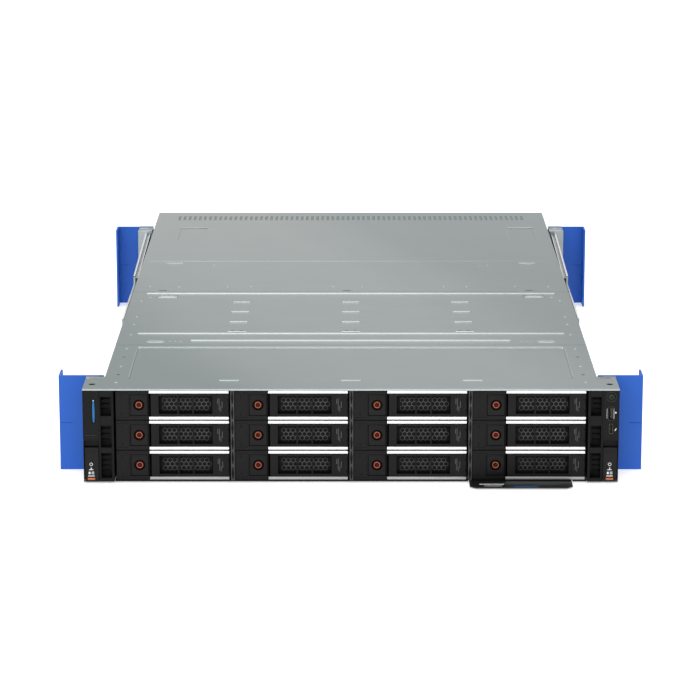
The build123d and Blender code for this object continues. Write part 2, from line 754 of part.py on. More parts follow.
def make_release_levers():
    """Two levers at the foot of the ears that let the chassis go from the rack posts."""
    radius = lever_pivot - 0.4
    with BuildPart() as levers:
        for side in (-1, 1):
            middle = side * (ear_outer - ear_face / 2)
            pivot = (middle, front_y + lever_pivot, base_h + lever_pivot)
            block(
                (middle - lever_width / 2, middle + lever_width / 2),
                (0.4, lever_thick),
                (lever_pivot, lever_height),
            )
            with Locations(Location(pivot, (0, 90, 0))):
                Cylinder(radius, lever_width)
                Cylinder(1.0 + pin_clearance, 2 * lever_width, mode=Mode.SUBTRACT)
    save(levers.part, "rack_release_levers")


def make_info_tag():
    """A thin pull-out label card under the right-hand bays, standing out of the front."""
    half = tag_width / 2
    with BuildPart() as tag:
        block(
            (tag_centre - half, tag_centre + half),
            (-tag_reach, tag_length - tag_reach),
            (0.15, 0.15 + tag_thick),
        )
        front_corners = tag.edges().filter_by(Axis.Z).group_by(Axis.Y)[0]
        chamfer(front_corners, tag_corner)
    save(tag.part, "info_tag")


def make_carrier():
    """One drive carrier at the first column and lowest row: face, sled, hinge pin and hard disk."""
    x0, x1 = face_span()
    low = bay_floor + carrier_gap_z
    high = bay_floor + bay_pitch_z - carrier_gap_z
    front = carrier_front
    back = carrier_front + carrier_face_depth
    mid_x = (x0 + x1) / 2
    sled_half = (x1 - x0) / 2 - sled_inset
    floor_half = sled_half - ledge_overlap - 0.3
    end = carrier_end
    with BuildPart() as frame:
        block((x0, x0 + latch_block_width), (front, back), (low, high))
        block((x0, x1), (back - 2.0, back), (low, high))
        knuckle_x, knuckle_d = hinge_place()
        lug = handle_knuckle_height()
        arm = (knuckle_x - knuckle_radius + 0.4, knuckle_x + knuckle_radius - 0.4)
        block(arm, (knuckle_d, back), (lug[0], lug[1]))
        with BuildSketch(level(lug[0])):
            with Locations((knuckle_x, knuckle_d)):
                Circle(knuckle_radius - 0.2)
        extrude(amount=lug[1] - lug[0])
        window_x = x0 + latch_block_width + handle_gap + window_offset
        window = (window_x, window_x + window_width)
        block(window, (back - 3, back + 1), (low + 6, high - 6), mode=Mode.SUBTRACT)
        bx, bz = button_centre()
        bw, bh = button_width / 2 + button_gap, button_height / 2 + button_gap
        pocket = 0.3 + button_depth + button_travel + 0.5
        block((bx - bw, bx + bw), (front - 1, front + pocket), (bz - bh, bz + bh), mode=Mode.SUBTRACT)
        cut_pin_bore(lug[0] - 1, lug[1] + 1)
        for side in (-1, 1):
            sled_out, sled_in = mid_x + side * sled_half, mid_x + side * (sled_half - sled_side)
            step = bay_floor + ledge_height + ledge_thick + 0.1
            block(sorted((sled_out, sled_in)), (back, end), (step, low + sled_side_height))
            rail = sorted((mid_x + side * floor_half, mid_x + side * (drive_width / 2 - 2)))
            block(rail, (back, end), (low, low + sled_floor))
        block((mid_x - floor_half, mid_x + floor_half), (back, end - 12), (low, low + sled_floor))
    with BuildPart() as disk:
        block(
            (mid_x - drive_width / 2, mid_x + drive_width / 2),
            (drive_start, drive_start + drive_length),
            (low + sled_floor, low + sled_floor + drive_thick),
        )
        chamfer(disk.edges().filter_by(Axis.Z), 2)
    with BuildPart() as pin:
        with BuildSketch(level(low + 0.5)):
            with Locations(hinge_place()):
                Circle(hinge_pin_radius)
        extrude(amount=high - low - 1)
    return Compound(children=[*frame.part.solids(), *disk.part.solids(), *pin.part.solids()])


def face_span():
    """Left and right x of the carrier face in the first column."""
    left_edge = -half_bays + divider / 2 + face_left_gap
    right_edge = -half_bays + bay_pitch_x - divider / 2 - face_right_gap
    return left_edge, right_edge


def hinge_place():
    """x and depth of the handle's hinge axis in the first column."""
    return face_span()[1] - knuckle_radius, carrier_front + knuckle_radius


def handle_knuckle_height():
    """Bottom and top of the carrier's own knuckle, between the two knuckles of the handle."""
    middle = bay_floor + bay_pitch_z / 2
    return middle - bay_pitch_z / 5, middle + bay_pitch_z / 5


def cut_pin_bore(low, high):
    """Cuts the hinge pin's bore in the active part."""
    x, d = hinge_place()
    with Locations((x, front_y + d, base_h + (low + high) / 2)):
        Cylinder(hinge_pin_radius + pin_clearance, high - low, mode=Mode.SUBTRACT)


def button_centre():
    """x and height of the release button's middle in the first column and lowest row."""
    middle_x = face_span()[0] + latch_block_width - button_inset - button_width / 2
    return middle_x, bay_floor + bay_pitch_z / 2


def make_handle():
    """One swinging carrier handle with its barred air window, at the first column and lowest row."""
    x0 = face_span()[0] + latch_block_width + handle_gap
    hinge_x, hinge_d = hinge_place()
    low = bay_floor + carrier_gap_z
    high = bay_floor + bay_pitch_z - carrier_gap_z
    front = carrier_front
    rim_end = hinge_x - knuckle_radius - handle_rim
    knuckle = handle_knuckle_height()
    with BuildPart() as handle:
        block((x0, hinge_x), (front, front + handle_plate), (low, high))
        block((x0, rim_end), (front, front + handle_rim), (low, low + strip_height))
        block((x0, rim_end), (front, front + handle_rim), (high - strip_height, high))
        block((x0, x0 + 2.0), (front, front + handle_rim), (low, high))
        with BuildSketch(level(low)):
            with Locations((hinge_x, hinge_d)):
                Circle(knuckle_radius)
        extrude(amount=high - low)
        notch = knuckle_radius + 0.4
        block(
            (hinge_x - notch, hinge_x + notch),
            (front - 1, front + 2 * notch),
            (knuckle[0] - 0.3, knuckle[1] + 0.3),
            mode=Mode.SUBTRACT,
        )
        middle = (low + high) / 2
        left = x0 + window_offset
        centre = left + window_width / 2
        bar_in, bar_out = (window_bar_step - window_bar) / 2, (window_bar_step + window_bar) / 2
        cells = (
            (left, centre - bar_out),
            (centre - bar_in, centre + bar_in),
            (centre + bar_out, left + window_width),
        )
        for cell in cells:
            block(
                cell,
                (front - 1, front + handle_plate + 1),
                (middle - window_height / 2, middle + window_height / 2),
                mode=Mode.SUBTRACT,
            )
        cut_pin_bore(low - 1, high + 1)
    return handle.part


def make_button():
    """One carrier release button, at the first column and lowest row."""
    x, h = button_centre()
    half, tall = button_width / 2, button_height / 2
    with BuildPart() as button:
        front = carrier_front + 0.3
        block((x - half, x + half), (front, front + button_depth), (h - tall, h + tall))
        chamfer(button.edges().filter_by(Axis.Y), 0.8)
    return button.part


def make_drive_bays():
    """Carrier, handle and button of all bays; row 1 is the top row and column 1 the left one."""
    makers = {
        "drive_carrier": make_carrier(),
        "carrier_handle": make_handle(),
        "release_button": make_button(),
    }
    for name, first in makers.items():
        for column in range(bay_columns):
            for row in range(bay_rows):
                place = Location((column * bay_pitch_x, 0, row * bay_pitch_z))
                save(first.moved(place), f"{name}_c{column + 1}r{bay_rows - row}")


def make_backplane():
    """Circuit board behind the bays with one drive connector per bay and air windows."""
    with BuildPart() as board:
        top = bay_top - 2
        block(
            (-backplane_half, backplane_half),
            (backplane_d, backplane_d + board_thick),
            (sheet + 1, top),
        )
        for column in range(bay_columns):
            for row in range(bay_rows):
                x = -half_bays + (column + 0.5) * bay_pitch_x
                h = bay_floor + row * bay_pitch_z + bay_pitch_z - 10
                block(
                    (x - 34, x + 34),
                    (backplane_d - 1, backplane_d + board_thick + 1),
                    (h, h + 6),
                    mode=Mode.SUBTRACT,
                )
                wide, deep, tall = connector_size
                low = bay_floor + row * bay_pitch_z + 4
                block((x - wide / 2, x + wide / 2), (backplane_d - deep, backplane_d), (low, low + tall))
    save(board.part, "drive_backplane")


def fan_places():
    """x of each fan's axis."""
    return [(k - (fan_count - 1) / 2) * fan_pitch for k in range(fan_count)]


def fan_height():
    """Height of the fan axes above the chassis underside."""
    return sheet + fan_floor_gap + fan_size / 2


def make_fans():
    """Three fan housings with motor struts, and one rotor for each."""
    with BuildPart() as housings:
        for x in fan_places():
            h = fan_height()
            half = fan_size / 2
            block((x - half, x + half), (fan_d, fan_d + fan_depth), (h - half, h + half))
            with BuildSketch(across(fan_d)):
                with Locations((-x, h)):
                    Circle(fan_bore)
            extrude(amount=fan_depth, mode=Mode.SUBTRACT)
            back = (fan_d + fan_depth - strut, fan_d + fan_depth)
            block((x - fan_bore - 0.5, x + fan_bore + 0.5), back, (h - strut / 2, h + strut / 2))
            block((x - strut / 2, x + strut / 2), back, (h - fan_bore - 0.5, h + fan_bore + 0.5))
            with BuildSketch(across(back[0])):
                with Locations((-x, h)):
                    Circle(motor_radius)
            extrude(amount=strut)
            with BuildSketch(across(fan_d + rotor_gap + 4)):
                with Locations((-x, h)):
                    Circle(shaft_radius)
            extrude(amount=fan_depth - rotor_gap - 4 - strut)
    save(housings.part, "fan_housings")
    for x, name in zip(fan_places(), ("left", "centre", "right")):
        save(make_rotor(x), f"fan_rotor_{name}")


def make_rotor(x):
    """One fan rotor: a hub and seven slanted blades that turn about Y at x."""
    start = fan_d + rotor_gap
    length = fan_depth - 2 * rotor_gap - strut
    h = fan_height()
    span = rotor_tip + 4 - rotor_hub / 2
    with BuildPart() as rotor:
        hub_middle = (x, front_y + start + length / 2, base_h + h)
        for k in range(rotor_blades):
            turn = Location(hub_middle, (0, k * 360 / rotor_blades, 0))
            blade = turn * Location((0, 0, rotor_hub / 2 + span / 2), (0, 0, blade_pitch))
            with Locations(blade):
                Box(blade_wall, length, span)
        with BuildSketch(across(start + 1)):
            with Locations((-x, h)):
                Circle(rotor_tip)
        extrude(amount=length - 2, mode=Mode.INTERSECT)
        with BuildSketch(across(start)):
            with Locations((-x, h)):
                Circle(rotor_hub)
        extrude(amount=length)
        with BuildSketch(across(start + 1.5)):
            with Locations((-x, h)):
                Circle(shaft_radius + pin_clearance)
        extrude(amount=length, mode=Mode.SUBTRACT)
    return rotor.part


def make_mainboard():
    """Main board on standoffs with two finned heatsinks and banks of memory modules."""
    low = sheet + standoff
    top = low + board_thick
    with BuildPart() as board:
        block((-board_half, board_half), (board_front, board_end), (low, top))
        tail_half = psu_middle - psu_width / 2 - tail_side_gap
        tail_end = chassis_depth - tail_rest
        block((-tail_half, tail_half), (board_end, tail_end), (low, top))
        for x in (-tail_half + 8, 0, tail_half - 8):
            for d in (board_front + 10, board_end - 10, tail_end - 10):
                block((x - 3, x + 3), (d - 3, d + 3), (sheet + 0.05, low))
    pieces = [*board.part.solids()]
    wide, deep, tall = heatsink_size
    for x in (-heatsink_x, heatsink_x):
        with BuildPart() as sink:
            span = (heatsink_d, heatsink_d + deep)
            block((x - wide / 2, x + wide / 2), span, (top, top + heatsink_base))
            pitch = (wide - 1.2) / (heatsink_fins - 1)
            for k in range(heatsink_fins):
                left = x - wide / 2 + k * pitch
                block((left, left + 1.2), span, (top + heatsink_base, top + tall))
        pieces += sink.part.solids()
    banks = (-board_half + memory_inset[0], memory_middle, board_half - memory_inset[1])
    for bank in banks:
        for k in range(memory_per_bank):
            with BuildPart() as module:
                x = bank + (k - (memory_per_bank - 1) / 2) * memory_pitch
                thick, length, height = memory_size
                span = (heatsink_d - memory_lead, heatsink_d - memory_lead + length)
                block((x - thick / 2, x + thick / 2), span, (top, top + 4))
                block((x - 0.6, x + 0.6), span, (top + 4, top + height))
            pieces += module.part.solids()
    save(Compound(children=pieces), "mainboard")


def make_network_ports():
    """Two network jacks on the main board's back edge."""
    low = sheet + standoff + board_thick
    wide, deep, tall = jack_size
    hole_wide, hole_deep, hole_tall = jack_socket
    with BuildPart() as jacks:
        for x in jack_x:
            block((x - wide / 2, x + wide / 2), (chassis_depth - deep, chassis_depth), (low, low + tall))
            rest = (tall - hole_tall) / 2
            block(
                (x - hole_wide / 2, x + hole_wide / 2),
                (chassis_depth - hole_deep, chassis_depth + 1),
                (low + rest, low + tall - rest),
                mode=Mode.SUBTRACT,
            )
    save(jacks.part, "network_ports")


def make_power_supply(side, name):
    """One hot-swap power supply with its mains inlet recess and a pull handle."""
    middle = side * psu_middle
    low = sheet + psu_gap
    face = chassis_depth + psu_face
    with BuildPart() as case:
        block(
            (middle - psu_width / 2, middle + psu_width / 2),
            (face - psu_length, face),
            (low, low + psu_height),
        )
        inlet_x = middle + inlet_offset
        inlet_h = low + psu_height / 2
        block(
            (inlet_x - inlet_size[0] / 2, inlet_x + inlet_size[0] / 2),
            (face - inlet_depth, face + 1),
            (inlet_h - inlet_size[1] / 2, inlet_h + inlet_size[1] / 2),
            mode=Mode.SUBTRACT,
        )
    left = middle - psu_width / 2 + 5
    bar = psu_handle_bar
    top = low + psu_height - 3
    with BuildPart() as grip:
        end = face + psu_handle_reach
        low_bar = top - psu_handle_height
        for h in (low_bar - bar, top - bar):
            block((left, left + psu_handle_bar), (face, end), (h, h + bar))
        block((left, left + bar), (end - bar, end), (low_bar - bar, top))
    save(Compound(children=[*case.part.solids(), *grip.part.solids()]), name)


make_rack_posts()
make_slides()
make_chassis_base()
make_bay_dividers()
make_front_cover()
make_middle_cover()
make_cover_locks()
make_rear_cover()
make_control_panels()
make_release_levers()
make_info_tag()
make_drive_bays()
make_backplane()
make_fans()
make_mainboard()
make_network_ports()
make_power_supply(-1, "power_supply_left")
make_power_supply(1, "power_supply_right")
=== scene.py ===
"""Looks of a two-unit rack storage server on its slides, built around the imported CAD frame.

Places are given in millimetres as x, a depth d behind the chassis front and a height h above the
underside of the chassis, as a maker would dimension it. Datum turns them into the frame's metres.
"""

from __future__ import annotations

import logging
import math
import random
from dataclasses import dataclass, field
from enum import Enum
from typing import Iterable, Sequence

import bmesh
import bpy
from mathutils import Matrix, Vector


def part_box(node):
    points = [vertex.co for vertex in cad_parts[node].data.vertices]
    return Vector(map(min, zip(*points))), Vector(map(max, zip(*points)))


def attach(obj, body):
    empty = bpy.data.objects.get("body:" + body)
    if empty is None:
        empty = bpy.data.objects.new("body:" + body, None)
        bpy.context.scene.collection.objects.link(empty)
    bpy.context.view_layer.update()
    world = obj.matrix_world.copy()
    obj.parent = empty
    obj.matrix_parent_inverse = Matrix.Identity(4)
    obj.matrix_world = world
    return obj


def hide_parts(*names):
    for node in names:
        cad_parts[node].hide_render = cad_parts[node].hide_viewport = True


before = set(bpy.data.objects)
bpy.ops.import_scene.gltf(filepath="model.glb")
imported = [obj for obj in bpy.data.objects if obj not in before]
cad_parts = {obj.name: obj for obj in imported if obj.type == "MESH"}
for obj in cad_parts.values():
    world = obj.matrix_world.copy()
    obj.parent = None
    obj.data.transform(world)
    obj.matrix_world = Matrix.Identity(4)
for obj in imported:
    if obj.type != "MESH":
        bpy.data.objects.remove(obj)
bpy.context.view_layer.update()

Point = tuple[float, float, float]
Flat = tuple[float, float]
Color = tuple[float, float, float]

MM = 0.001
BAYS = [f"c{column}r{row}" for column in range(1, 5) for row in range(1, 4)]
FIRST_BAY = "c1r3"
LOWEST_ROW = "r3"
EDGE_ANGLE = math.radians(32)

log = logging.getLogger("server")


@dataclass(frozen=True)
class Datum:
    """The chassis front and underside in the frame, in metres."""

    front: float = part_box("front_cover")[0].y
    base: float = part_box("chassis_base")[0].z

    def matrix(self) -> Matrix:
        """Matrix from the chassis's millimetres to the frame's metres."""
        return Matrix.Translation((0.0, self.front, self.base)) @ Matrix.Scale(MM, 4)

    def box(self, node: str) -> tuple[Vector, Vector]:
        """Lowest and highest corner of a CAD node in the chassis's millimetres.

        Args:
            node: name of the CAD node.

        Returns:
            The two corners as (x, d, h).
        """
        back = self.matrix().inverted()
        low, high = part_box(node)
        return back @ low, back @ high


DATUM = Datum()


class Pattern(Enum):
    """The kind of surface structure a finish has."""

    GRAIN = "fine moulded or coated grain"
    BRUSHED = "streaks along the sheet"
    SPANGLE = "zinc crystals"
    BOARD = "tracks of a circuit board"


class Along(Enum):
    """The axis that an outline is extruded or turned about."""

    X = 0
    Y = 1
    Z = 2

    def place(self, a: float, b: float, run: float) -> Vector:
        """Point from two flat coordinates and one along the axis.

        Args:
            a: first flat coordinate, in X, Y, Z order.
            b: second flat coordinate.
            run: coordinate along the axis.

        Returns:
            The point.
        """
        values = [a, b]
        values.insert(self.value, run)
        return Vector(values)


@dataclass(frozen=True)
class Finish:
    """One surface finish, made as a node material."""

    name: str
    slot: str
    color: Color
    rough: float
    metal: float = 0.0
    specular: float = 0.5
    coat: float = 0.0
    pattern: Pattern = Pattern.GRAIN
    grain: float = 900.0
    depth: float = 0.05
    mottle: float = 0.12
    mottle_scale: float = 14.0
    second: Color | None = None
    glow: float = 0.0
    # whether a painted sheen, a pale slantwise stripe of painted reflection, runs over the colour
    painted_sheen: bool = False

    def material(self) -> bpy.types.Material:
        """The finish's material, made on first use.

        Returns:
            The Blender material.
        """
        made = bpy.data.materials.get(self.name)
        if made is not None:
            return made
        made = bpy.data.materials.new(self.name)
        made.use_nodes = True
        tree = made.node_tree
        shader = next(n for n in tree.nodes if n.type == "BSDF_PRINCIPLED")
        shader.inputs["Metallic"].default_value = self.metal
        shader.inputs["Specular IOR Level"].default_value = self.specular
        shader.inputs["Coat Weight"].default_value = self.coat
        place = tree.nodes.new("ShaderNodeTexCoord")
        fine, streak = self._fine(tree, place)
        coarse = self._noise(tree, place, (1.0, 1.0, 1.0), self.mottle_scale, 3.0)
        # painted sheen: a pale slantwise stripe of reflection painted into the base colour
        if self.painted_sheen:
            coarse = self._painted_sheen_factor(tree, place, coarse)
        self._paint(tree, shader, coarse, streak)
        self._roughen(tree, shader, fine)
        self._emboss(tree, shader, fine)
        if self.glow:
            shader.inputs["Emission Color"].default_value = (*self.color, 1.0)
            shader.inputs["Emission Strength"].default_value = self.glow
        return made

    def _noise(
        self,
        tree: bpy.types.NodeTree,
        place: bpy.types.Node,
        stretch: Point,
        scale: float,
        detail: float,
    ) -> bpy.types.NodeSocket:
        """Noise over the object's own coordinates.

        Args:
            tree: the material's node tree.
            place: its texture coordinate node.
            stretch: factor on each axis before the noise.
            scale: noise scale per metre.
            detail: noise detail.

        Returns:
            The noise factor's socket.
        """
        mapping = tree.nodes.new("ShaderNodeMapping")
        mapping.inputs["Scale"].default_value = stretch
        noise = tree.nodes.new("ShaderNodeTexNoise")
        noise.inputs["Scale"].default_value = scale
        noise.inputs["Detail"].default_value = detail
        tree.links.new(place.outputs["Object"], mapping.inputs["Vector"])
        tree.links.new(mapping.outputs["Vector"], noise.inputs["Vector"])
        return noise.outputs["Fac"]

    def _painted_sheen_factor(
        self, tree: bpy.types.NodeTree, place: bpy.types.Node, coarse: bpy.types.NodeSocket
    ) -> bpy.types.NodeSocket:
        """Painted sheen: a pale stripe slantwise over the sheet, stronger towards the back, a
        reflection painted into the colour.

        Args:
            tree: the material's node tree.
            place: its texture coordinate node.
            coarse: factor of the clouds that unsettle the painted sheen.

        Returns:
            The factor's socket.
        """
        sums = []
        for slope in ((1.116, 0.40, 0.0), (0.0, 0.65, 0.0)):
            dot = tree.nodes.new("ShaderNodeVectorMath")
            dot.operation = "DOT_PRODUCT"
            dot.inputs[1].default_value = slope
            tree.links.new(place.outputs["Object"], dot.inputs[0])
            sums.append(dot.outputs["Value"])
        shifted = self._add(tree, sums[0], coarse, 0.10, 0.47)
        ramp = tree.nodes.new("ShaderNodeValToRGB")
        ramp.color_ramp.interpolation = "EASE"
        stops = ramp.color_ramp.elements
        stops[0].position, stops[0].color = 0.175, (0.0, 0.0, 0.0, 1.0)
        stops[1].position, stops[1].color = 0.775, (0.0, 0.0, 0.0, 1.0)
        for at, value in ((0.32, 0.84), (0.40, 1.0), (0.55, 1.0), (0.61, 0.7), (0.70, 0.15)):
            stops.new(at).color = (value, value, value, 1.0)
        tree.links.new(shifted, ramp.inputs["Fac"])
        mixed = self._add(tree, ramp.outputs["Color"], sums[1], 1.0, 0.21, 0.48)
        return self._add(tree, mixed, coarse, 0.06, 0.0)

    def _add(
        self,
        tree: bpy.types.NodeTree,
        first: bpy.types.NodeSocket,
        second: bpy.types.NodeSocket,
        weight: float,
        shift: float,
        scale: float = 1.0,
    ) -> bpy.types.NodeSocket:
        """The sum scale * first + weight * second + shift.

        Args:
            tree: the material's node tree.
            first: first value's socket.
            second: second value's socket.
            weight: factor of the second value.
            shift: constant that is added.
            scale: factor of the first value.

        Returns:
            The sum's socket.
        """
        left = tree.nodes.new("ShaderNodeMath")
        left.operation = "MULTIPLY_ADD"
        left.inputs[1].default_value = scale
        left.inputs[2].default_value = shift
        tree.links.new(first, left.inputs[0])
        right = tree.nodes.new("ShaderNodeMath")
        right.operation = "MULTIPLY_ADD"
        right.inputs[1].default_value = weight
        tree.links.new(second, right.inputs[0])
        tree.links.new(left.outputs["Value"], right.inputs[2])
        return right.outputs["Value"]

    def _fine(
        self, tree: bpy.types.NodeTree, place: bpy.types.Node
    ) -> tuple[bpy.types.NodeSocket, bpy.types.NodeSocket]:
        """The finish's fine structure.

        Args:
            tree: the material's node tree.
            place: its texture coordinate node.

        Returns:
            The socket that drives relief, and the one that drives colour.
        """
        if self.pattern is Pattern.BRUSHED:
            fine = self._noise(tree, place, (0.04, 1.0, 1.0), self.grain, 2.0)
            return fine, fine
        if self.pattern is Pattern.SPANGLE:
            cells = tree.nodes.new("ShaderNodeTexVoronoi")
            cells.inputs["Scale"].default_value = self.grain
            tree.links.new(place.outputs["Object"], cells.inputs["Vector"])
            split = tree.nodes.new("ShaderNodeSeparateColor")
            tree.links.new(cells.outputs["Color"], split.inputs["Color"])
            return cells.outputs["Distance"], split.outputs["Red"]
        if self.pattern is Pattern.BOARD:
            tracks = tree.nodes.new("ShaderNodeTexBrick")
            tracks.inputs["Scale"].default_value = self.grain
            tracks.inputs["Mortar Size"].default_value = 0.06
            tree.links.new(place.outputs["Object"], tracks.inputs["Vector"])
            return tracks.outputs["Fac"], tracks.outputs["Fac"]
        fine = self._noise(tree, place, (1.0, 1.0, 1.0), self.grain, 4.0)
        return fine, fine

    def _paint(
        self,
        tree: bpy.types.NodeTree,
        shader: bpy.types.Node,
        coarse: bpy.types.NodeSocket,
        streak: bpy.types.NodeSocket,
    ) -> None:
        """Links the base colour, varied by coarse clouds and the fine structure; on a finish with a
        painted sheen the coarse factor is that painted reflection.

        Args:
            tree: the material's node tree.
            shader: its principled shader.
            coarse: factor of the clouds, or of the painted sheen.
            streak: factor of the fine structure.
        """
        second = self.second or tuple(c * (1.0 - self.mottle) for c in self.color)
        clouds = tree.nodes.new("ShaderNodeMix")
        clouds.data_type = "RGBA"
        clouds.inputs["A"].default_value = (*second, 1.0)
        clouds.inputs["B"].default_value = (*self.color, 1.0)
        ramp = tree.nodes.new("ShaderNodeMapRange")
        ramp.inputs["From Min"].default_value = 0.0 if self.painted_sheen else 0.3
        ramp.inputs["From Max"].default_value = 1.0 if self.painted_sheen else 0.7
        tree.links.new(coarse, ramp.inputs["Value"])
        tree.links.new(ramp.outputs["Result"], clouds.inputs["Factor"])
        flecks = tree.nodes.new("ShaderNodeMix")
        flecks.data_type = "RGBA"
        flecks.blend_type = "MULTIPLY"
        flecks.inputs["Factor"].default_value = self.mottle
        tree.links.new(clouds.outputs["Result"], flecks.inputs["A"])
        tree.links.new(streak, flecks.inputs["B"])
        tree.links.new(flecks.outputs["Result"], shader.inputs["Base Color"])

    def _roughen(
        self,
        tree: bpy.types.NodeTree,
        shader: bpy.types.Node,
        fine: bpy.types.NodeSocket,
    ) -> None:
        """Links a roughness that varies a little with the fine structure.

        Args:
            tree: the material's node tree.
            shader: its principled shader.
            fine: factor of the fine structure.
        """
        ramp = tree.nodes.new("ShaderNodeMapRange")
        ramp.inputs["To Min"].default_value = self.rough * 0.88
        ramp.inputs["To Max"].default_value = min(1.0, self.rough * 1.12)
        tree.links.new(fine, ramp.inputs["Value"])
        tree.links.new(ramp.outputs["Result"], shader.inputs["Roughness"])

    def _emboss(
        self,
        tree: bpy.types.NodeTree,
        shader: bpy.types.Node,
        fine: bpy.types.NodeSocket,
    ) -> None:
        """Links the relief of the fine structure to the normal.

        Args:
            tree: the material's node tree.
            shader: its principled shader.
            fine: factor of the fine structure.
        """
        bump = tree.nodes.new("ShaderNodeBump")
        bump.inputs["Strength"].default_value = self.depth
        bump.inputs["Distance"].default_value = 0.0002
        tree.links.new(fine, bump.inputs["Height"])
        tree.links.new(bump.outputs["Normal"], shader.inputs["Normal"])


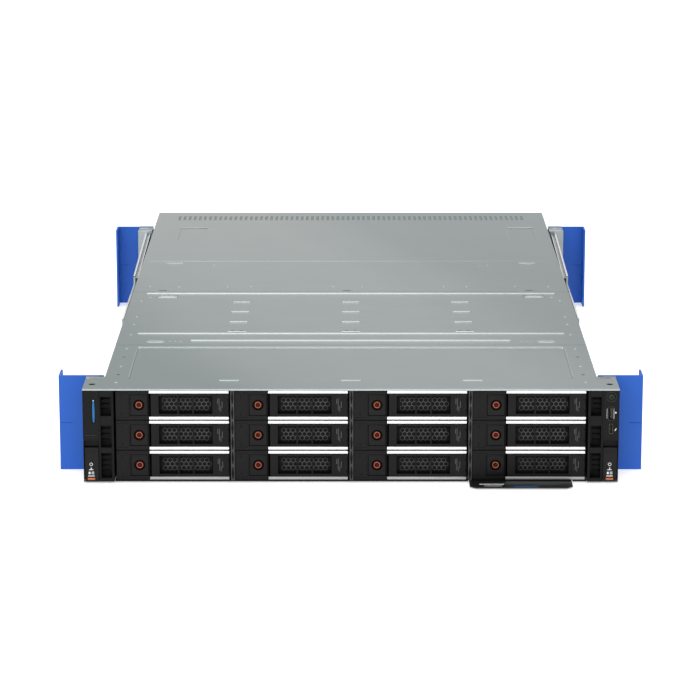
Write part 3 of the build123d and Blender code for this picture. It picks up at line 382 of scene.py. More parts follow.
class Finishes:
    """Every finish on the server."""

    # The darker second colour and the pale slantwise stripe between it and the main colour are a
    # painted sheen, a reflection painted into the base colour.
    COVER = Finish(
        "galvanised_cover_painted_sheen", "cover_steel", (0.60, 0.635, 0.63), 0.36, 1.0,
        pattern=Pattern.BRUSHED, grain=700.0, depth=0.03, mottle=0.05, mottle_scale=2.4,
        second=(0.365, 0.418, 0.410), painted_sheen=True,
    )
    RIDGE = Finish(
        "soft_pressed_ridge", "cover_steel", (0.44, 0.48, 0.47), 0.55, 1.0,
        pattern=Pattern.BRUSHED, grain=900.0, depth=0.02, mottle=0.05,
    )
    BAFFLE = Finish(
        "grey_vent_baffle", "galvanised", (0.215, 0.24, 0.235), 0.6, 0.3, 0.3,
        grain=1200.0, depth=0.03, mottle=0.08,
    )
    # Black plastic lightened to dark grey: partly the trim's own colour, partly a painted highlight
    # along the divider chain.
    TRIM = Finish(
        "divider_trim_plastic", "black_plastic", (0.050, 0.050, 0.052), 0.42, 0.0, 0.3,
        grain=2600.0, depth=0.08, mottle=0.12,
    )
    TAG_BLUE = Finish(
        "tag_blue_edge", "status_light", (0.015, 0.070, 0.18), 0.4, 0.0, 0.3,
        grain=2400.0, depth=0.02, mottle=0.12,
    )
    # A lighter copy of the cover steel, laid on pressed beads, the panel line, the hooks and the
    # bracket lips as a painted highlight.
    HIGHLIGHT_EDGE = Finish(
        "pressed_edge_painted_highlight", "cover_steel", (0.56, 0.60, 0.59), 0.50, 1.0,
        pattern=Pattern.BRUSHED, grain=900.0, depth=0.02, mottle=0.05,
    )
    TUB = Finish(
        "galvanised_tub", "galvanised", (0.44, 0.46, 0.46), 0.45, 0.85,
        pattern=Pattern.SPANGLE, grain=160.0, depth=0.04, mottle=0.14,
    )
    ZINC = Finish(
        "bright_zinc_plate", "zinc", (0.42, 0.46, 0.475), 0.34, 0.95,
        pattern=Pattern.BRUSHED, grain=900.0, depth=0.03, mottle=0.10, second=(0.30, 0.33, 0.33),
    )
    BLUE = Finish(
        "blue_powder_coat", "blue_paint", (0.017, 0.116, 0.550), 0.42, 0.0, 0.28,
        grain=2600.0, depth=0.10, mottle=0.05,
    )
    EAR = Finish(
        "black_grained_plastic", "black_plastic", (0.0075, 0.0077, 0.0080), 0.46, 0.0, 0.12,
        grain=3200.0, depth=0.12, mottle=0.15,
    )
    CARRIER = Finish(
        "carrier_black_plastic", "carrier_plastic", (0.0090, 0.0090, 0.0090), 0.46, 0.0, 0.13,
        grain=3000.0, depth=0.12, mottle=0.15,
    )
    BUTTON = Finish(
        "button_satin_plastic", "button_plastic", (0.0100, 0.0088, 0.0092), 0.40, 0.0, 0.14,
        grain=3000.0, depth=0.10, mottle=0.12,
    )
    LEVER = Finish(
        "lever_satin_plastic", "lever_plastic", (0.0080, 0.0080, 0.0080), 0.40, 0.0, 0.16,
        grain=2600.0, depth=0.12, mottle=0.12,
    )
    MESH = Finish(
        "perforated_black_sheet", "mesh_metal", (0.070, 0.070, 0.072), 0.42, 0.2, 0.3,
        grain=1800.0, depth=0.06, mottle=0.10,
    )
    # Black sheet finish; also used for pieces that are painted shade, such as dark baffles, hook
    # shadows and floors of openings.
    DARK = Finish(
        "black_sheet_and_painted_shade", "black_metal", (0.0055, 0.0055, 0.0058), 0.5, 0.0, 0.12,
        grain=1800.0, depth=0.08, mottle=0.12,
    )
    STRIP = Finish(
        "bright_anodised_strip", "bright_strip", (0.93, 0.935, 0.94), 0.26, 0.6, 0.7,
        pattern=Pattern.BRUSHED, grain=1600.0, depth=0.02, mottle=0.03,
    )
    ORANGE = Finish(
        "orange_ring_plastic", "orange_mark", (0.56, 0.150, 0.060), 0.38, 0.0, 0.2,
        grain=2400.0, depth=0.04, mottle=0.10,
    )
    RING = Finish(
        "pale_orange_ring", "orange_mark", (0.50, 0.165, 0.095), 0.40, 0.0, 0.2,
        grain=2400.0, depth=0.04, mottle=0.12,
    )
    WELL = Finish(
        "dark_red_well", "orange_mark", (0.085, 0.0060, 0.0035), 0.45, 0.0, 0.1,
        grain=2400.0, depth=0.05, mottle=0.25,
    )
    # Dark reddish brown laid round the button's ring as painted shade in its recess.
    DISH = Finish(
        "button_dish_painted_shade", "button_plastic", (0.0070, 0.0022, 0.0018), 0.5, 0.0, 0.05,
        grain=2400.0, depth=0.05, mottle=0.15,
    )
    # A grey copy of the bright strip: painted shade on the lower strips of the lowest row.
    SHADED_STRIP = Finish(
        "strip_painted_shade", "bright_strip", (0.40, 0.41, 0.41), 0.40, 0.5, 0.4,
        pattern=Pattern.BRUSHED, grain=1600.0, depth=0.02, mottle=0.05,
    )
    LIGHT = Finish(
        "blue_light_pipe", "status_light", (0.016, 0.125, 0.31), 0.35, 0.0, 0.2, 0.0,
        grain=600.0, depth=0.02, mottle=0.20, second=(0.022, 0.165, 0.40), glow=0.02,
    )
    PRINT = Finish(
        "white_pad_print", "white_print", (0.78, 0.78, 0.78), 0.55, 0.0, 0.4,
        grain=2400.0, depth=0.05, mottle=0.12,
    )
    GREY_PRINT = Finish(
        "grey_engraved_mark", "mesh_metal", (0.085, 0.085, 0.088), 0.55, 0.0, 0.4,
        grain=2400.0, depth=0.05, mottle=0.15,
    )
    GREEN = Finish(
        "green_button_ring", "status_light", (0.015, 0.085, 0.03), 0.4, 0.0, 0.4,
        grain=2400.0, depth=0.03, mottle=0.15,
    )
    PALE = Finish(
        "pale_light_tip", "status_light", (0.55, 0.70, 0.80), 0.3, 0.0, 0.5,
        grain=2400.0, depth=0.03, mottle=0.10, glow=0.1,
    )
    GOLD = Finish(
        "gilt_contact", "port_metal", (0.80, 0.58, 0.26), 0.28, 0.95,
        grain=2400.0, depth=0.03, mottle=0.10,
    )
    PLASTIC_BLUE = Finish(
        "blue_connector", "black_plastic", (0.03, 0.09, 0.32), 0.45,
        grain=2400.0, depth=0.05, mottle=0.12,
    )
    CARD = Finish(
        "gloss_black_card", "gloss_tag", (0.010, 0.011, 0.012), 0.30, 0.0, 0.35, 0.1,
        grain=500.0, depth=0.02, mottle=0.12,
    )
    GILT = Finish(
        "yellow_passivated_zinc", "zinc", (0.60, 0.68, 0.76), 0.28, 0.95,
        pattern=Pattern.SPANGLE, grain=300.0, depth=0.03, mottle=0.22, mottle_scale=70.0,
        second=(0.62, 0.61, 0.56),
    )
    LOCK = Finish(
        "satin_steel_lock", "lock_steel", (0.62, 0.63, 0.63), 0.32, 0.9,
        pattern=Pattern.BRUSHED, grain=1000.0, depth=0.03, mottle=0.06,
    )
    BOARD = Finish(
        "green_solder_mask", "circuit_board", (0.012, 0.085, 0.045), 0.35, 0.0, 0.5, 0.2,
        pattern=Pattern.BOARD, grain=260.0, depth=0.10, mottle=0.25,
    )
    CHIP = Finish(
        "black_epoxy_chip", "black_plastic", (0.018, 0.018, 0.019), 0.5,
        grain=3000.0, depth=0.08, mottle=0.15,
    )
    FINS = Finish(
        "heatsink_aluminium", "supply_case", (0.72, 0.73, 0.74), 0.34, 0.9,
        pattern=Pattern.BRUSHED, grain=900.0, depth=0.03, mottle=0.08,
    )
    FAN = Finish(
        "fan_black_plastic", "fan_plastic", (0.020, 0.020, 0.021), 0.42, 0.0, 0.4,
        grain=1500.0, depth=0.08, mottle=0.15,
    )
    RIM = Finish(
        "dull_brass_rim", "port_metal", (0.155, 0.150, 0.100), 0.42, 0.6,
        grain=1400.0, depth=0.04, mottle=0.15,
    )
    SHELL = Finish(
        "nickel_shell", "port_metal", (0.70, 0.70, 0.69), 0.22, 0.95,
        pattern=Pattern.BRUSHED, grain=1400.0, depth=0.02, mottle=0.08,
    )
    SUPPLY = Finish(
        "supply_satin_case", "supply_case", (0.52, 0.53, 0.53), 0.38, 0.85,
        pattern=Pattern.BRUSHED, grain=800.0, depth=0.03, mottle=0.08,
    )
    DISK = Finish(
        "cast_disk_case", "supply_case", (0.48, 0.49, 0.50), 0.36, 0.9,
        grain=1600.0, depth=0.05, mottle=0.10,
    )


class Shape:
    """A mesh under construction, in the chassis's millimetres."""

    def __init__(self) -> None:
        """Starts empty."""
        self.bm = bmesh.new()

    def box(self, low: Point, high: Point, ease: float = 0.0) -> Shape:
        """Adds a box.

        Args:
            low: lowest corner.
            high: highest corner.
            ease: radius that its edges are eased by.

        Returns:
            The shape itself.
        """
        a, b = Vector(low), Vector(high)
        size = b - a
        place = Matrix.Translation((a + b) / 2) @ Matrix.Diagonal((*size, 1.0))
        made = bmesh.ops.create_cube(self.bm, size=1.0, matrix=place)["verts"]
        self._ease(made, ease)
        return self

    def prism(
        self,
        outline: Sequence[Flat],
        along: Along,
        start: float,
        end: float,
        ease: float = 0.0,
        shrink: float = 0.0,
    ) -> Shape:
        """Adds an extruded outline.

        Args:
            outline: corners of the outline in the plane across the axis.
            along: the axis it is extruded along.
            start: where it starts on the axis.
            end: where it ends.
            ease: radius that its edges are eased by.
            shrink: how far the end outline is drawn in towards its middle.

        Returns:
            The shape itself.
        """
        mid_a = sum(p[0] for p in outline) / len(outline)
        mid_b = sum(p[1] for p in outline) / len(outline)
        first = [self.bm.verts.new(along.place(a, b, start)) for a, b in outline]
        last = []
        for a, b in outline:
            away = Vector((a - mid_a, b - mid_b))
            drawn = away * (1.0 - shrink / max(away.length, 1e-6))
            last.append(self.bm.verts.new(along.place(mid_a + drawn.x, mid_b + drawn.y, end)))
        faces = [self.bm.faces.new(first), self.bm.faces.new(last)]
        count = len(outline)
        for k in range(count):
            n = (k + 1) % count
            faces.append(self.bm.faces.new((first[k], first[n], last[n], last[k])))
        bmesh.ops.recalc_face_normals(self.bm, faces=faces)
        self._ease(first + last, ease)
        return self

    def rod(
        self,
        centre: Point,
        radius: float,
        length: float,
        along: Along,
        ease: float = 0.0,
        sides: int = 24,
    ) -> Shape:
        """Adds a round bar about its centre.

        Args:
            centre: middle of the bar.
            radius: its radius.
            length: its length.
            along: its axis.
            ease: radius that its rims are eased by.
            sides: number of facets.

        Returns:
            The shape itself.
        """
        middle = list(centre)
        run = middle.pop(along.value)
        outline = circle((middle[0], middle[1]), radius, sides)
        return self.prism(outline, along, run - length / 2, run + length / 2, ease)

    def turned(
        self, centre: Point, profile: Sequence[Flat], along: Along, sides: int = 32
    ) -> Shape:
        """Adds a closed profile turned about an axis.

        Args:
            centre: a point on the axis.
            profile: closed outline as (radius, distance along the axis from the centre).
            along: the axis.
            sides: number of facets.

        Returns:
            The shape itself.
        """
        middle = list(centre)
        run = middle.pop(along.value)
        rings = []
        for k in range(sides):
            turn = 2 * math.pi * k / sides
            cos, sin = math.cos(turn), math.sin(turn)
            rings.append(
                [
                    self.bm.verts.new(along.place(middle[0] + r * cos, middle[1] + r * sin, run + s))
                    for r, s in profile
                ]
            )
        faces = []
        count = len(profile)
        for k in range(sides):
            here, there = rings[k], rings[(k + 1) % sides]
            for j in range(count):
                n = (j + 1) % count
                faces.append(self.bm.faces.new((here[j], here[n], there[n], there[j])))
        verts = [v for ring in rings for v in ring]
        bmesh.ops.remove_doubles(self.bm, verts=verts, dist=1e-5)
        bmesh.ops.recalc_face_normals(self.bm, faces=[f for f in faces if f.is_valid])
        return self

    def dome(
        self,
        centre: Flat,
        size: Flat,
        base: float,
        height: float,
        turned: bool = False,
        facing: Along = Along.Z,
    ) -> Shape:
        """Adds a pressed ridge: a rounded bar that rises from a sheet.

        Args:
            centre: its middle in the plane across the facing axis.
            size: its length and width.
            base: where it meets the sheet on the facing axis.
            height: how far it rises, negative towards the lower side.
            turned: whether its length runs along the plane's second axis.
            facing: the axis it rises along.

        Returns:
            The shape itself.
        """
        radius = size[1] / 2
        core = max(size[0] / 2 - radius, 0.0)
        rings = []
        levels = [(radius, -0.15 * height)]
        levels += [(radius * math.cos(t), height * math.sin(t)) for t in (0.0, 0.4, 0.8, 1.2)]
        for reach, rise in levels:
            ring = []
            for k in range(24):
                turn = 2 * math.pi * (k + 0.5) / 24
                a = math.copysign(core, math.cos(turn)) + reach * math.cos(turn)
                b = reach * math.sin(turn)
                if turned:
                    a, b = b, a
                ring.append(
                    self.bm.verts.new(facing.place(centre[0] + a, centre[1] + b, base + rise))
                )
            rings.append(ring)
        faces = [self.bm.faces.new(rings[0]), self.bm.faces.new(rings[-1])]
        for here, there in zip(rings, rings[1:]):
            for k in range(24):
                n = (k + 1) % 24
                faces.append(self.bm.faces.new((here[k], here[n], there[n], there[k])))
        bmesh.ops.recalc_face_normals(self.bm, faces=faces)
        return self

    def ring(
        self, centre: Point, radius: float, wire: float, along: Along, sides: int = 32
    ) -> Shape:
        """Adds a wire ring.

        Args:
            centre: its middle.
            radius: radius of the wire's centre line.
            wire: radius of the wire.
            along: axis of the ring.
            sides: number of facets round the ring.

        Returns:
            The shape itself.
        """
        turns = [2 * math.pi * k / 8 for k in range(8)]
        profile = [(radius + wire * math.cos(t), wire * math.sin(t)) for t in turns]
        return self.turned(centre, profile, along, sides)

    def tube(
        self, low: Point, high: Point, wall: float, along: Along, ease: float = 0.0
    ) -> Shape:
        """Adds a rectangular tube that is open at both ends.

        Args:
            low: lowest corner of its outside.
            high: highest corner.
            wall: wall thickness.
            along: its axis.
            ease: radius that its edges are eased by.

        Returns:
            The shape itself.
        """
        a, b = list(low), list(high)
        start, end = a.pop(along.value), b.pop(along.value)
        outer = rectangle((a[0], a[1]), (b[0], b[1]))
        inner = rectangle((a[0] + wall, a[1] + wall), (b[0] - wall, b[1] - wall))
        made = Shape().perforated([(outer, inner)], along, start, end)
        made._ease(made.bm.verts[:], ease)
        return self.join(made)

    def lay(
        self, name: str, finish: Finish, body: str, stands_for: Sequence[str] = ()
    ) -> bpy.types.Object:
        """Finishes the mesh and puts it in the scene.

        Args:
            name: name of the piece.
            finish: its finish.
            body: CAD body that it moves with.
            stands_for: CAD nodes that it replaces.

        Returns:
            The new object.
        """
        log.info("%s rides %s", name, body)
        return lay(self.mesh(name), name, finish, body, None, stands_for)

    def perforated(
        self,
        cells: Iterable[tuple[Sequence[Flat], Sequence[Flat] | None]],
        along: Along,
        start: float,
        end: float,
    ) -> Shape:
        """Adds a sheet tiled from cells, each with a hole or without.

        Args:
            cells: outer outline and hole outline of each cell, with the same number of corners.
            along: the axis that the sheet's thickness runs along.
            start: front of the sheet on that axis.
            end: back of the sheet.

        Returns:
            The shape itself.
        """
        verts, faces = [], []
        for outer, inner in cells:
            rim = [self.bm.verts.new(along.place(a, b, start)) for a, b in outer]
            verts += rim
            if inner is None:
                faces.append(self.bm.faces.new(rim))
                continue
            hole = [self.bm.verts.new(along.place(a, b, start)) for a, b in inner]
            verts += hole
            for k in range(len(rim)):
                n = (k + 1) % len(rim)
                faces.append(self.bm.faces.new((rim[k], rim[n], hole[n], hole[k])))
        bmesh.ops.remove_doubles(self.bm, verts=verts, dist=1e-3)
        faces = [f for f in faces if f.is_valid]
        grown = bmesh.ops.extrude_face_region(self.bm, geom=faces)["geom"]
        moved = [g for g in grown if isinstance(g, bmesh.types.BMVert)]
        shift = along.place(0.0, 0.0, end - start)
        bmesh.ops.translate(self.bm, verts=moved, vec=shift)
        bmesh.ops.recalc_face_normals(self.bm, faces=self.bm.faces[:])
        return self

    def join(self, other: Shape) -> Shape:
        """Adds another shape's mesh to this one.

        Args:
            other: the shape that is added, which is used up.

        Returns:
            The shape itself.
        """
        data = bpy.data.meshes.new("joined")
        other.bm.to_mesh(data)
        other.bm.free()
        self.bm.from_mesh(data)
        bpy.data.meshes.remove(data)
        return self

    def cut(self, tool: Shape) -> Shape:
        """Cuts another shape out of this one.

        Args:
            tool: the shape that is taken away, which is used up.

        Returns:
            The shape itself.
        """
        work, knife = self._loose("work"), tool._loose("knife")
        modifier = work.modifiers.new("cut", "BOOLEAN")
        modifier.object = knife
        modifier.operation = "DIFFERENCE"
        modifier.solver = "EXACT"
        bpy.context.view_layer.update()
        depsgraph = bpy.context.evaluated_depsgraph_get()
        result = bpy.data.meshes.new_from_object(work.evaluated_get(depsgraph))
        self.bm.clear()
        self.bm.from_mesh(result)
        for loose in (work, knife):
            data = loose.data
            bpy.data.objects.remove(loose)
            bpy.data.meshes.remove(data)
        bpy.data.meshes.remove(result)
        return self

    def mesh(self, name: str) -> bpy.types.Mesh:
        """The finished mesh in the frame's metres, smooth except at its edges.

        Args:
            name: name of the mesh.

        Returns:
            The mesh.
        """
        self.bm.transform(DATUM.matrix())
        data = bpy.data.meshes.new(name)
        self.bm.to_mesh(data)
        self.bm.free()
        data.shade_smooth()
        data.set_sharp_from_angle(angle=EDGE_ANGLE)
        return data

    def _loose(self, name: str) -> bpy.types.Object:
        """A scratch object that holds a copy of this shape."""
        data = bpy.data.meshes.new(name)
        self.bm.to_mesh(data)
        made = bpy.data.objects.new(name, data)
        bpy.context.scene.collection.objects.link(made)
        return made

    def _ease(self, verts: Iterable[bmesh.types.BMVert], radius: float) -> None:
        """Rounds every edge between some vertices.

        Args:
            verts: the vertices.
            radius: the radius, or 0 for none.
        """
        if radius <= 0.0:
            return
        edges = {e for v in verts for e in v.link_edges}
        sharp = [e for e in edges if len(e.link_faces) == 2 and e.calc_face_angle(0.0) > 0.6]
        bmesh.ops.bevel(
            self.bm, geom=sharp, offset=radius, segments=2, profile=0.5, affect="EDGES",
            clamp_overlap=True,
        )


def circle(centre: Flat, radius: float, sides: int = 24) -> list[Flat]:
    """Corners of a round outline.

    Args:
        centre: its middle.
        radius: its radius.
        sides: number of corners.

    Returns:
        The corners.
    """
    turns = [2 * math.pi * (k + 0.5) / sides for k in range(sides)]
    return [(centre[0] + radius * math.cos(t), centre[1] + radius * math.sin(t)) for t in turns]


def rectangle(low: Flat, high: Flat) -> list[Flat]:
    """Corners of a rectangle.

    Args:
        low: lowest corner.
        high: highest corner.

    Returns:
        The corners, anticlockwise.
    """
    return [(low[0], low[1]), (high[0], low[1]), (high[0], high[1]), (low[0], high[1])]


def sloped(span: Flat, heights: Flat, thick: float) -> list[Flat]:
    """Corners of a thin bar that rises along its length.

    Args:
        span: where it starts and ends.
        heights: height of its underside at both ends.
        thick: its thickness.

    Returns:
        The corners, anticlockwise.
    """
    low, high = heights
    return [(span[0], low), (span[1], high), (span[1], high + thick), (span[0], low + thick)]


def rounded(low: Flat, high: Flat, radius: float, steps: int = 4) -> list[Flat]:
    """Corners of a rectangle with round corners.

    Args:
        low: lowest corner.
        high: highest corner.
        radius: corner radius.
        steps: facets in each corner.

    Returns:
        The corners, anticlockwise.
    """
    centres = [
        (high[0] - radius, high[1] - radius),
        (low[0] + radius, high[1] - radius),
        (low[0] + radius, low[1] + radius),
        (high[0] - radius, low[1] + radius),
    ]
    points = []
    for quarter, (a, b) in enumerate(centres):
        for k in range(steps + 1):
            turn = math.pi / 2 * (quarter + k / steps)
            points.append((a + radius * math.cos(turn), b + radius * math.sin(turn)))
    return points


def honeycomb(
    low: Flat, high: Flat, pitch: float, hole: float
) -> list[tuple[list[Flat], list[Flat]]]:
    """Hexagon cells that fill a rectangle, for a perforated sheet.

    Args:
        low: lowest corner of the rectangle.
        high: highest corner.
        pitch: distance between holes in a row.
        hole: width of a hole over its flats.

    Returns:
        Outer and hole outlines of each cell.
    """
    cells = []
    outer, inner = pitch / math.sqrt(3), hole / math.sqrt(3)
    step = outer * 1.5
    rows = int((high[1] - low[1] - 2 * outer) / step) + 1
    columns = int((high[0] - low[0] - pitch) / pitch)
    start_a = (low[0] + high[0] - (columns - 0.5) * pitch) / 2
    start_b = (low[1] + high[1] - (rows - 1) * step) / 2
    turns = [math.radians(60 * k + 30) for k in range(6)]
    for row in range(rows):
        for column in range(columns):
            a = start_a + (column + 0.5 * (row % 2)) * pitch
            b = start_b + row * step
            cells.append(
                (
                    [(a + outer * math.cos(t), b + outer * math.sin(t)) for t in turns],
                    [(a + inner * math.cos(t), b + inner * math.sin(t)) for t in turns],
                )
            )
    return cells


def lay(
    data: bpy.types.Mesh,
    name: str,
    finish: Finish,
    body: str,
    offset: Vector | None = None,
    stands_for: Sequence[str] = (),
    ease: float = 0.0,
) -> bpy.types.Object:
    """Puts a mesh in the scene as a piece of the server.

    Args:
        data: the mesh, in the frame's metres.
        name: name of the piece.
        finish: its finish.
        body: CAD body that it moves with.
        offset: shift in metres, or None.
        stands_for: CAD nodes that it replaces.
        ease: width in metres that its sharp edges are eased by, or 0.

    Returns:
        The new object.
    """
    piece = bpy.data.objects.new(name, data)
    bpy.context.scene.collection.objects.link(piece)
    if not data.materials:
        data.materials.append(finish.material())
    if offset is not None:
        piece.location = offset
    if ease > 0.0:
        soften(piece, ease)
    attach(piece, body)
    if stands_for:
        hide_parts(*stands_for)
    return piece


def soften(piece: bpy.types.Object, width: float) -> None:
    """Eases a piece's sharp edges with modifiers.

    Args:
        piece: the object.
        width: width of the bevel in metres.
    """
    weld = piece.modifiers.new("weld", "WELD")
    weld.merge_threshold = 1e-6
    bevel = piece.modifiers.new("ease", "BEVEL")
    bevel.width = width
    bevel.segments = 2
    bevel.limit_method = "ANGLE"
    bevel.angle_limit = EDGE_ANGLE
    bevel.use_clamp_overlap = True
    bevel.harden_normals = False


def dress(node: str, finish: Finish, ease: float = 0.0) -> None:
    """Gives a CAD node its finish.

    Args:
        node: name of the node.
        finish: the finish.
        ease: width in metres that its sharp edges are eased by, or 0.
    """
    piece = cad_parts[node]
    piece.data.materials.clear()
    piece.data.materials.append(finish.material())
    if ease > 0.0:
        soften(piece, ease)


@dataclass
class BayFronts:
    """The drive carriers, handles and release buttons, made once and laid in every bay."""

    strip_height: float = 2.55
    strip_length: float = 71.6
    face_setback: float = 0.7
    plate: float = 2.6
    window_left: float = 8.6
    window_width: float = 48.4
    window_height: float = 16.8
    window_bar: float = 1.3
    mesh_depth: float = 4.3
    mesh_pitch: float = 4.15
    mesh_hole: float = 3.5
    mesh_margins: Flat = (0.8, 1.4)
    latch_width: float = 29.6
    ring_radius: float = 2.9
    ring_wall: float = 0.56
    dish_radius: float = 5.1
    round_sides: int = 40
    bar_step: float = 13.6
    strip_rest: float = 0.3
    latch_depth: float = 12.0
    lens_rest: float = 5.4
    disk_size: Point = (101.6, 147.0, 26.1)
    plug_depth: float = 12.5
    handle: tuple[Vector, Vector] = field(
        default_factory=lambda: DATUM.box(f"carrier_handle_{FIRST_BAY}")
    )
    carrier: tuple[Vector, Vector] = field(
        default_factory=lambda: DATUM.box(f"drive_carrier_{FIRST_BAY}")
    )
    button: tuple[Vector, Vector] = field(
        default_factory=lambda: DATUM.box(f"release_button_{FIRST_BAY}")
    )

    def build(self) -> None:
        """Makes each mesh once and lays it in all bays."""
        handle_parts = [
            ("handle_face", self.face_mesh(), Finishes.CARRIER),
            ("handle_top_strip", self.strip_mesh(True), Finishes.STRIP),
            ("handle_low_strip", self.strip_mesh(False), Finishes.STRIP),
            ("handle_honeycomb", self.honeycomb_mesh(), Finishes.MESH),
            ("handle_painted_shade_backing", self.backing_mesh(), Finishes.DARK),
            ("handle_marks", self.mark_mesh(), Finishes.GREY_PRINT),
        ]
        carrier_parts = [
            ("carrier_face", self.latch_mesh(), Finishes.CARRIER),
            ("carrier_sled", self.sled_mesh(), Finishes.TUB),
            ("hard_disk", self.disk_mesh(), Finishes.DISK),
            ("carrier_lights", self.lens_mesh(), Finishes.BUTTON),
        ]
        button_parts = [
            ("button_face", self.button_mesh(), Finishes.BUTTON),
            ("button_ring", self.ring_mesh(), Finishes.RING),
            ("button_dish", self.dish_mesh(), Finishes.DISH),
            ("button_well", self.well_mesh(), Finishes.WELL),
        ]
        shaded_strip = self.strip_mesh(False)
        groups = [
            ("carrier_handle", "handle", handle_parts),
            ("drive_carrier", "carrier", carrier_parts),
            ("release_button", "button", button_parts),
        ]
        for node, body, parts in groups:
            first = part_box(f"{node}_{FIRST_BAY}")[0]
            for bay in BAYS:
                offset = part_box(f"{node}_{bay}")[0] - first
                for order, (name, data, finish) in enumerate(parts):
                    # the lowest row's lower strips get the grey copy, painted shade
                    if name == "handle_low_strip" and bay.endswith(LOWEST_ROW):
                        data, finish = shaded_strip, Finishes.SHADED_STRIP
                    stands_for = [f"{node}_{bay}"] if order == 0 else []
                    lay(data, f"{name}_{bay}", finish, f"{body}_{bay}", offset, stands_for)
            log.info("%s: %d meshes in %d bays", node, len(parts), len(BAYS))

    def cells(self) -> list[tuple[Flat, Flat]]:
        """Corners of the handle window's three openings, as (x, h)."""
        low, high = self.handle
        middle = (low.z + high.z) / 2
        left = low.x + self.window_left
        centre = left + self.window_width / 2
        inner = (self.bar_step - self.window_bar) / 2
        outer = (self.bar_step + self.window_bar) / 2
        spans = (
            (left, centre - outer),
            (centre - inner, centre + inner),
            (centre + outer, left + self.window_width),
        )
        half = self.window_height / 2
        return [((a, middle - half), (b, middle + half)) for a, b in spans]

    def face_mesh(self) -> bpy.types.Mesh:
        """The handle's black face with its barred window, hinge knuckles and side rims."""
        low, high = self.handle
        front = low.y + self.face_setback
        bottom, top = low.z + 0.1, high.z - 0.1
        hinge = high.x - 2.5
        left = low.x
        cells: list[tuple[Sequence[Flat], Sequence[Flat] | None]] = []
        edge = left
        for k, (a, b) in enumerate(self.cells()):
            right = b[0] + (self.window_bar / 2 if k < 2 else 0.0)
            if k == 0:
                cells.append((rectangle((edge, bottom), (a[0], top)), None))
                edge = a[0]
            cells.append((rectangle((edge, bottom), (right, top)), rectangle(a, b)))
            edge = right
        cells.append((rectangle((edge, bottom), (hinge, top)), None))
        shape = Shape().perforated(cells, Along.Y, front, front + self.plate)
        shape.box((left, front, bottom), (left + 1.8, high.y, top), 0.2)
        for a, b in ((low.z, low.z + 8.0), (high.z - 8.0, high.z)):
            shape.rod((hinge, low.y + 2.5, (a + b) / 2), 2.3, b - a, Along.Z, 0.25)
        for x in (self.cells()[-1][1][0] + 2.2, hinge - 3.6):
            shape.box((x, front - 0.25, bottom + 4.4), (x + 0.5, front + 0.5, top - 4.4), 0.1)
        return shape.mesh("handle_face")

    def strip_mesh(self, upper: bool) -> bpy.types.Mesh:
        """One of the two bright edge strips, folded back over the handle's rim.

        Args:
            upper: whether it is the strip at the top.

        Returns:
            The mesh.
        """
        low, high = self.handle
        rest = self.strip_rest
        bottom = high.z - self.strip_height - rest if upper else low.z + rest
        top = bottom + self.strip_height
        shape = Shape().box(
            (low.x, low.y, bottom), (low.x + self.strip_length, low.y + 6.0, top), 0.35
        )
        return shape.mesh("handle_top_strip" if upper else "handle_low_strip")

    def honeycomb_mesh(self) -> bpy.types.Mesh:
        """The perforated sheet behind the window."""
        first, last = self.cells()[0][0], self.cells()[-1][1]
        depth = self.handle[0].y + self.mesh_depth
        side, end = self.mesh_margins
        low_corner = (first[0] + side, first[1] + end)
        high_corner = (last[0] + side, last[1] - end)
        cells = honeycomb(low_corner, high_corner, self.mesh_pitch, self.mesh_hole)
        return Shape().perforated(cells, Along.Y, depth, depth + 0.7).mesh("handle_honeycomb")

    def backing_mesh(self) -> bpy.types.Mesh:
        """The dark baffle behind the perforated sheet, framed on all sides: painted shade standing in
        for the dark inside of the carrier.
        """
        front = self.handle[0].y
        first, last = self.cells()[0][0], self.cells()[-1][1]
        start, end = front + self.face_setback + self.plate, front + 6.0
        a = (first[0] - 1.2, first[1] - 1.2)
        b = (last[0] + 1.2, last[1] + 1.2)
        shape = Shape().box((a[0], end - 0.5, a[1]), (b[0], end, b[1]), 0.1)
        for x in (a[0], b[0] - 1.0):
            shape.box((x, start, a[1]), (x + 1.0, end, b[1]), 0.1)
        for h in (a[1], b[1] - 1.0):
            shape.box((a[0], start, h), (b[0], end, h + 1.0), 0.1)
        return shape.mesh("handle_painted_shade_backing")

    def mark_mesh(self) -> bpy.types.Mesh:
        """Plain raised bars in place of a rating mark beside the window."""
        low, high = self.handle
        front = low.y + self.face_setback
        left = self.cells()[-1][1][0] + 4.4
        middle = (low.z + high.z) / 2
        shape = Shape()
        for k, (start, end) in enumerate(((1.0, 5.6), (-4.8, 6.2), (-6.0, -1.2), (-2.6, 3.4))):
            x = left + k * 1.35
            start, end = middle + start, middle + end
            shape.box((x, front - 0.12, start), (x + 0.55, front + 0.2, end), 0.05)
        return shape.mesh("handle_marks")

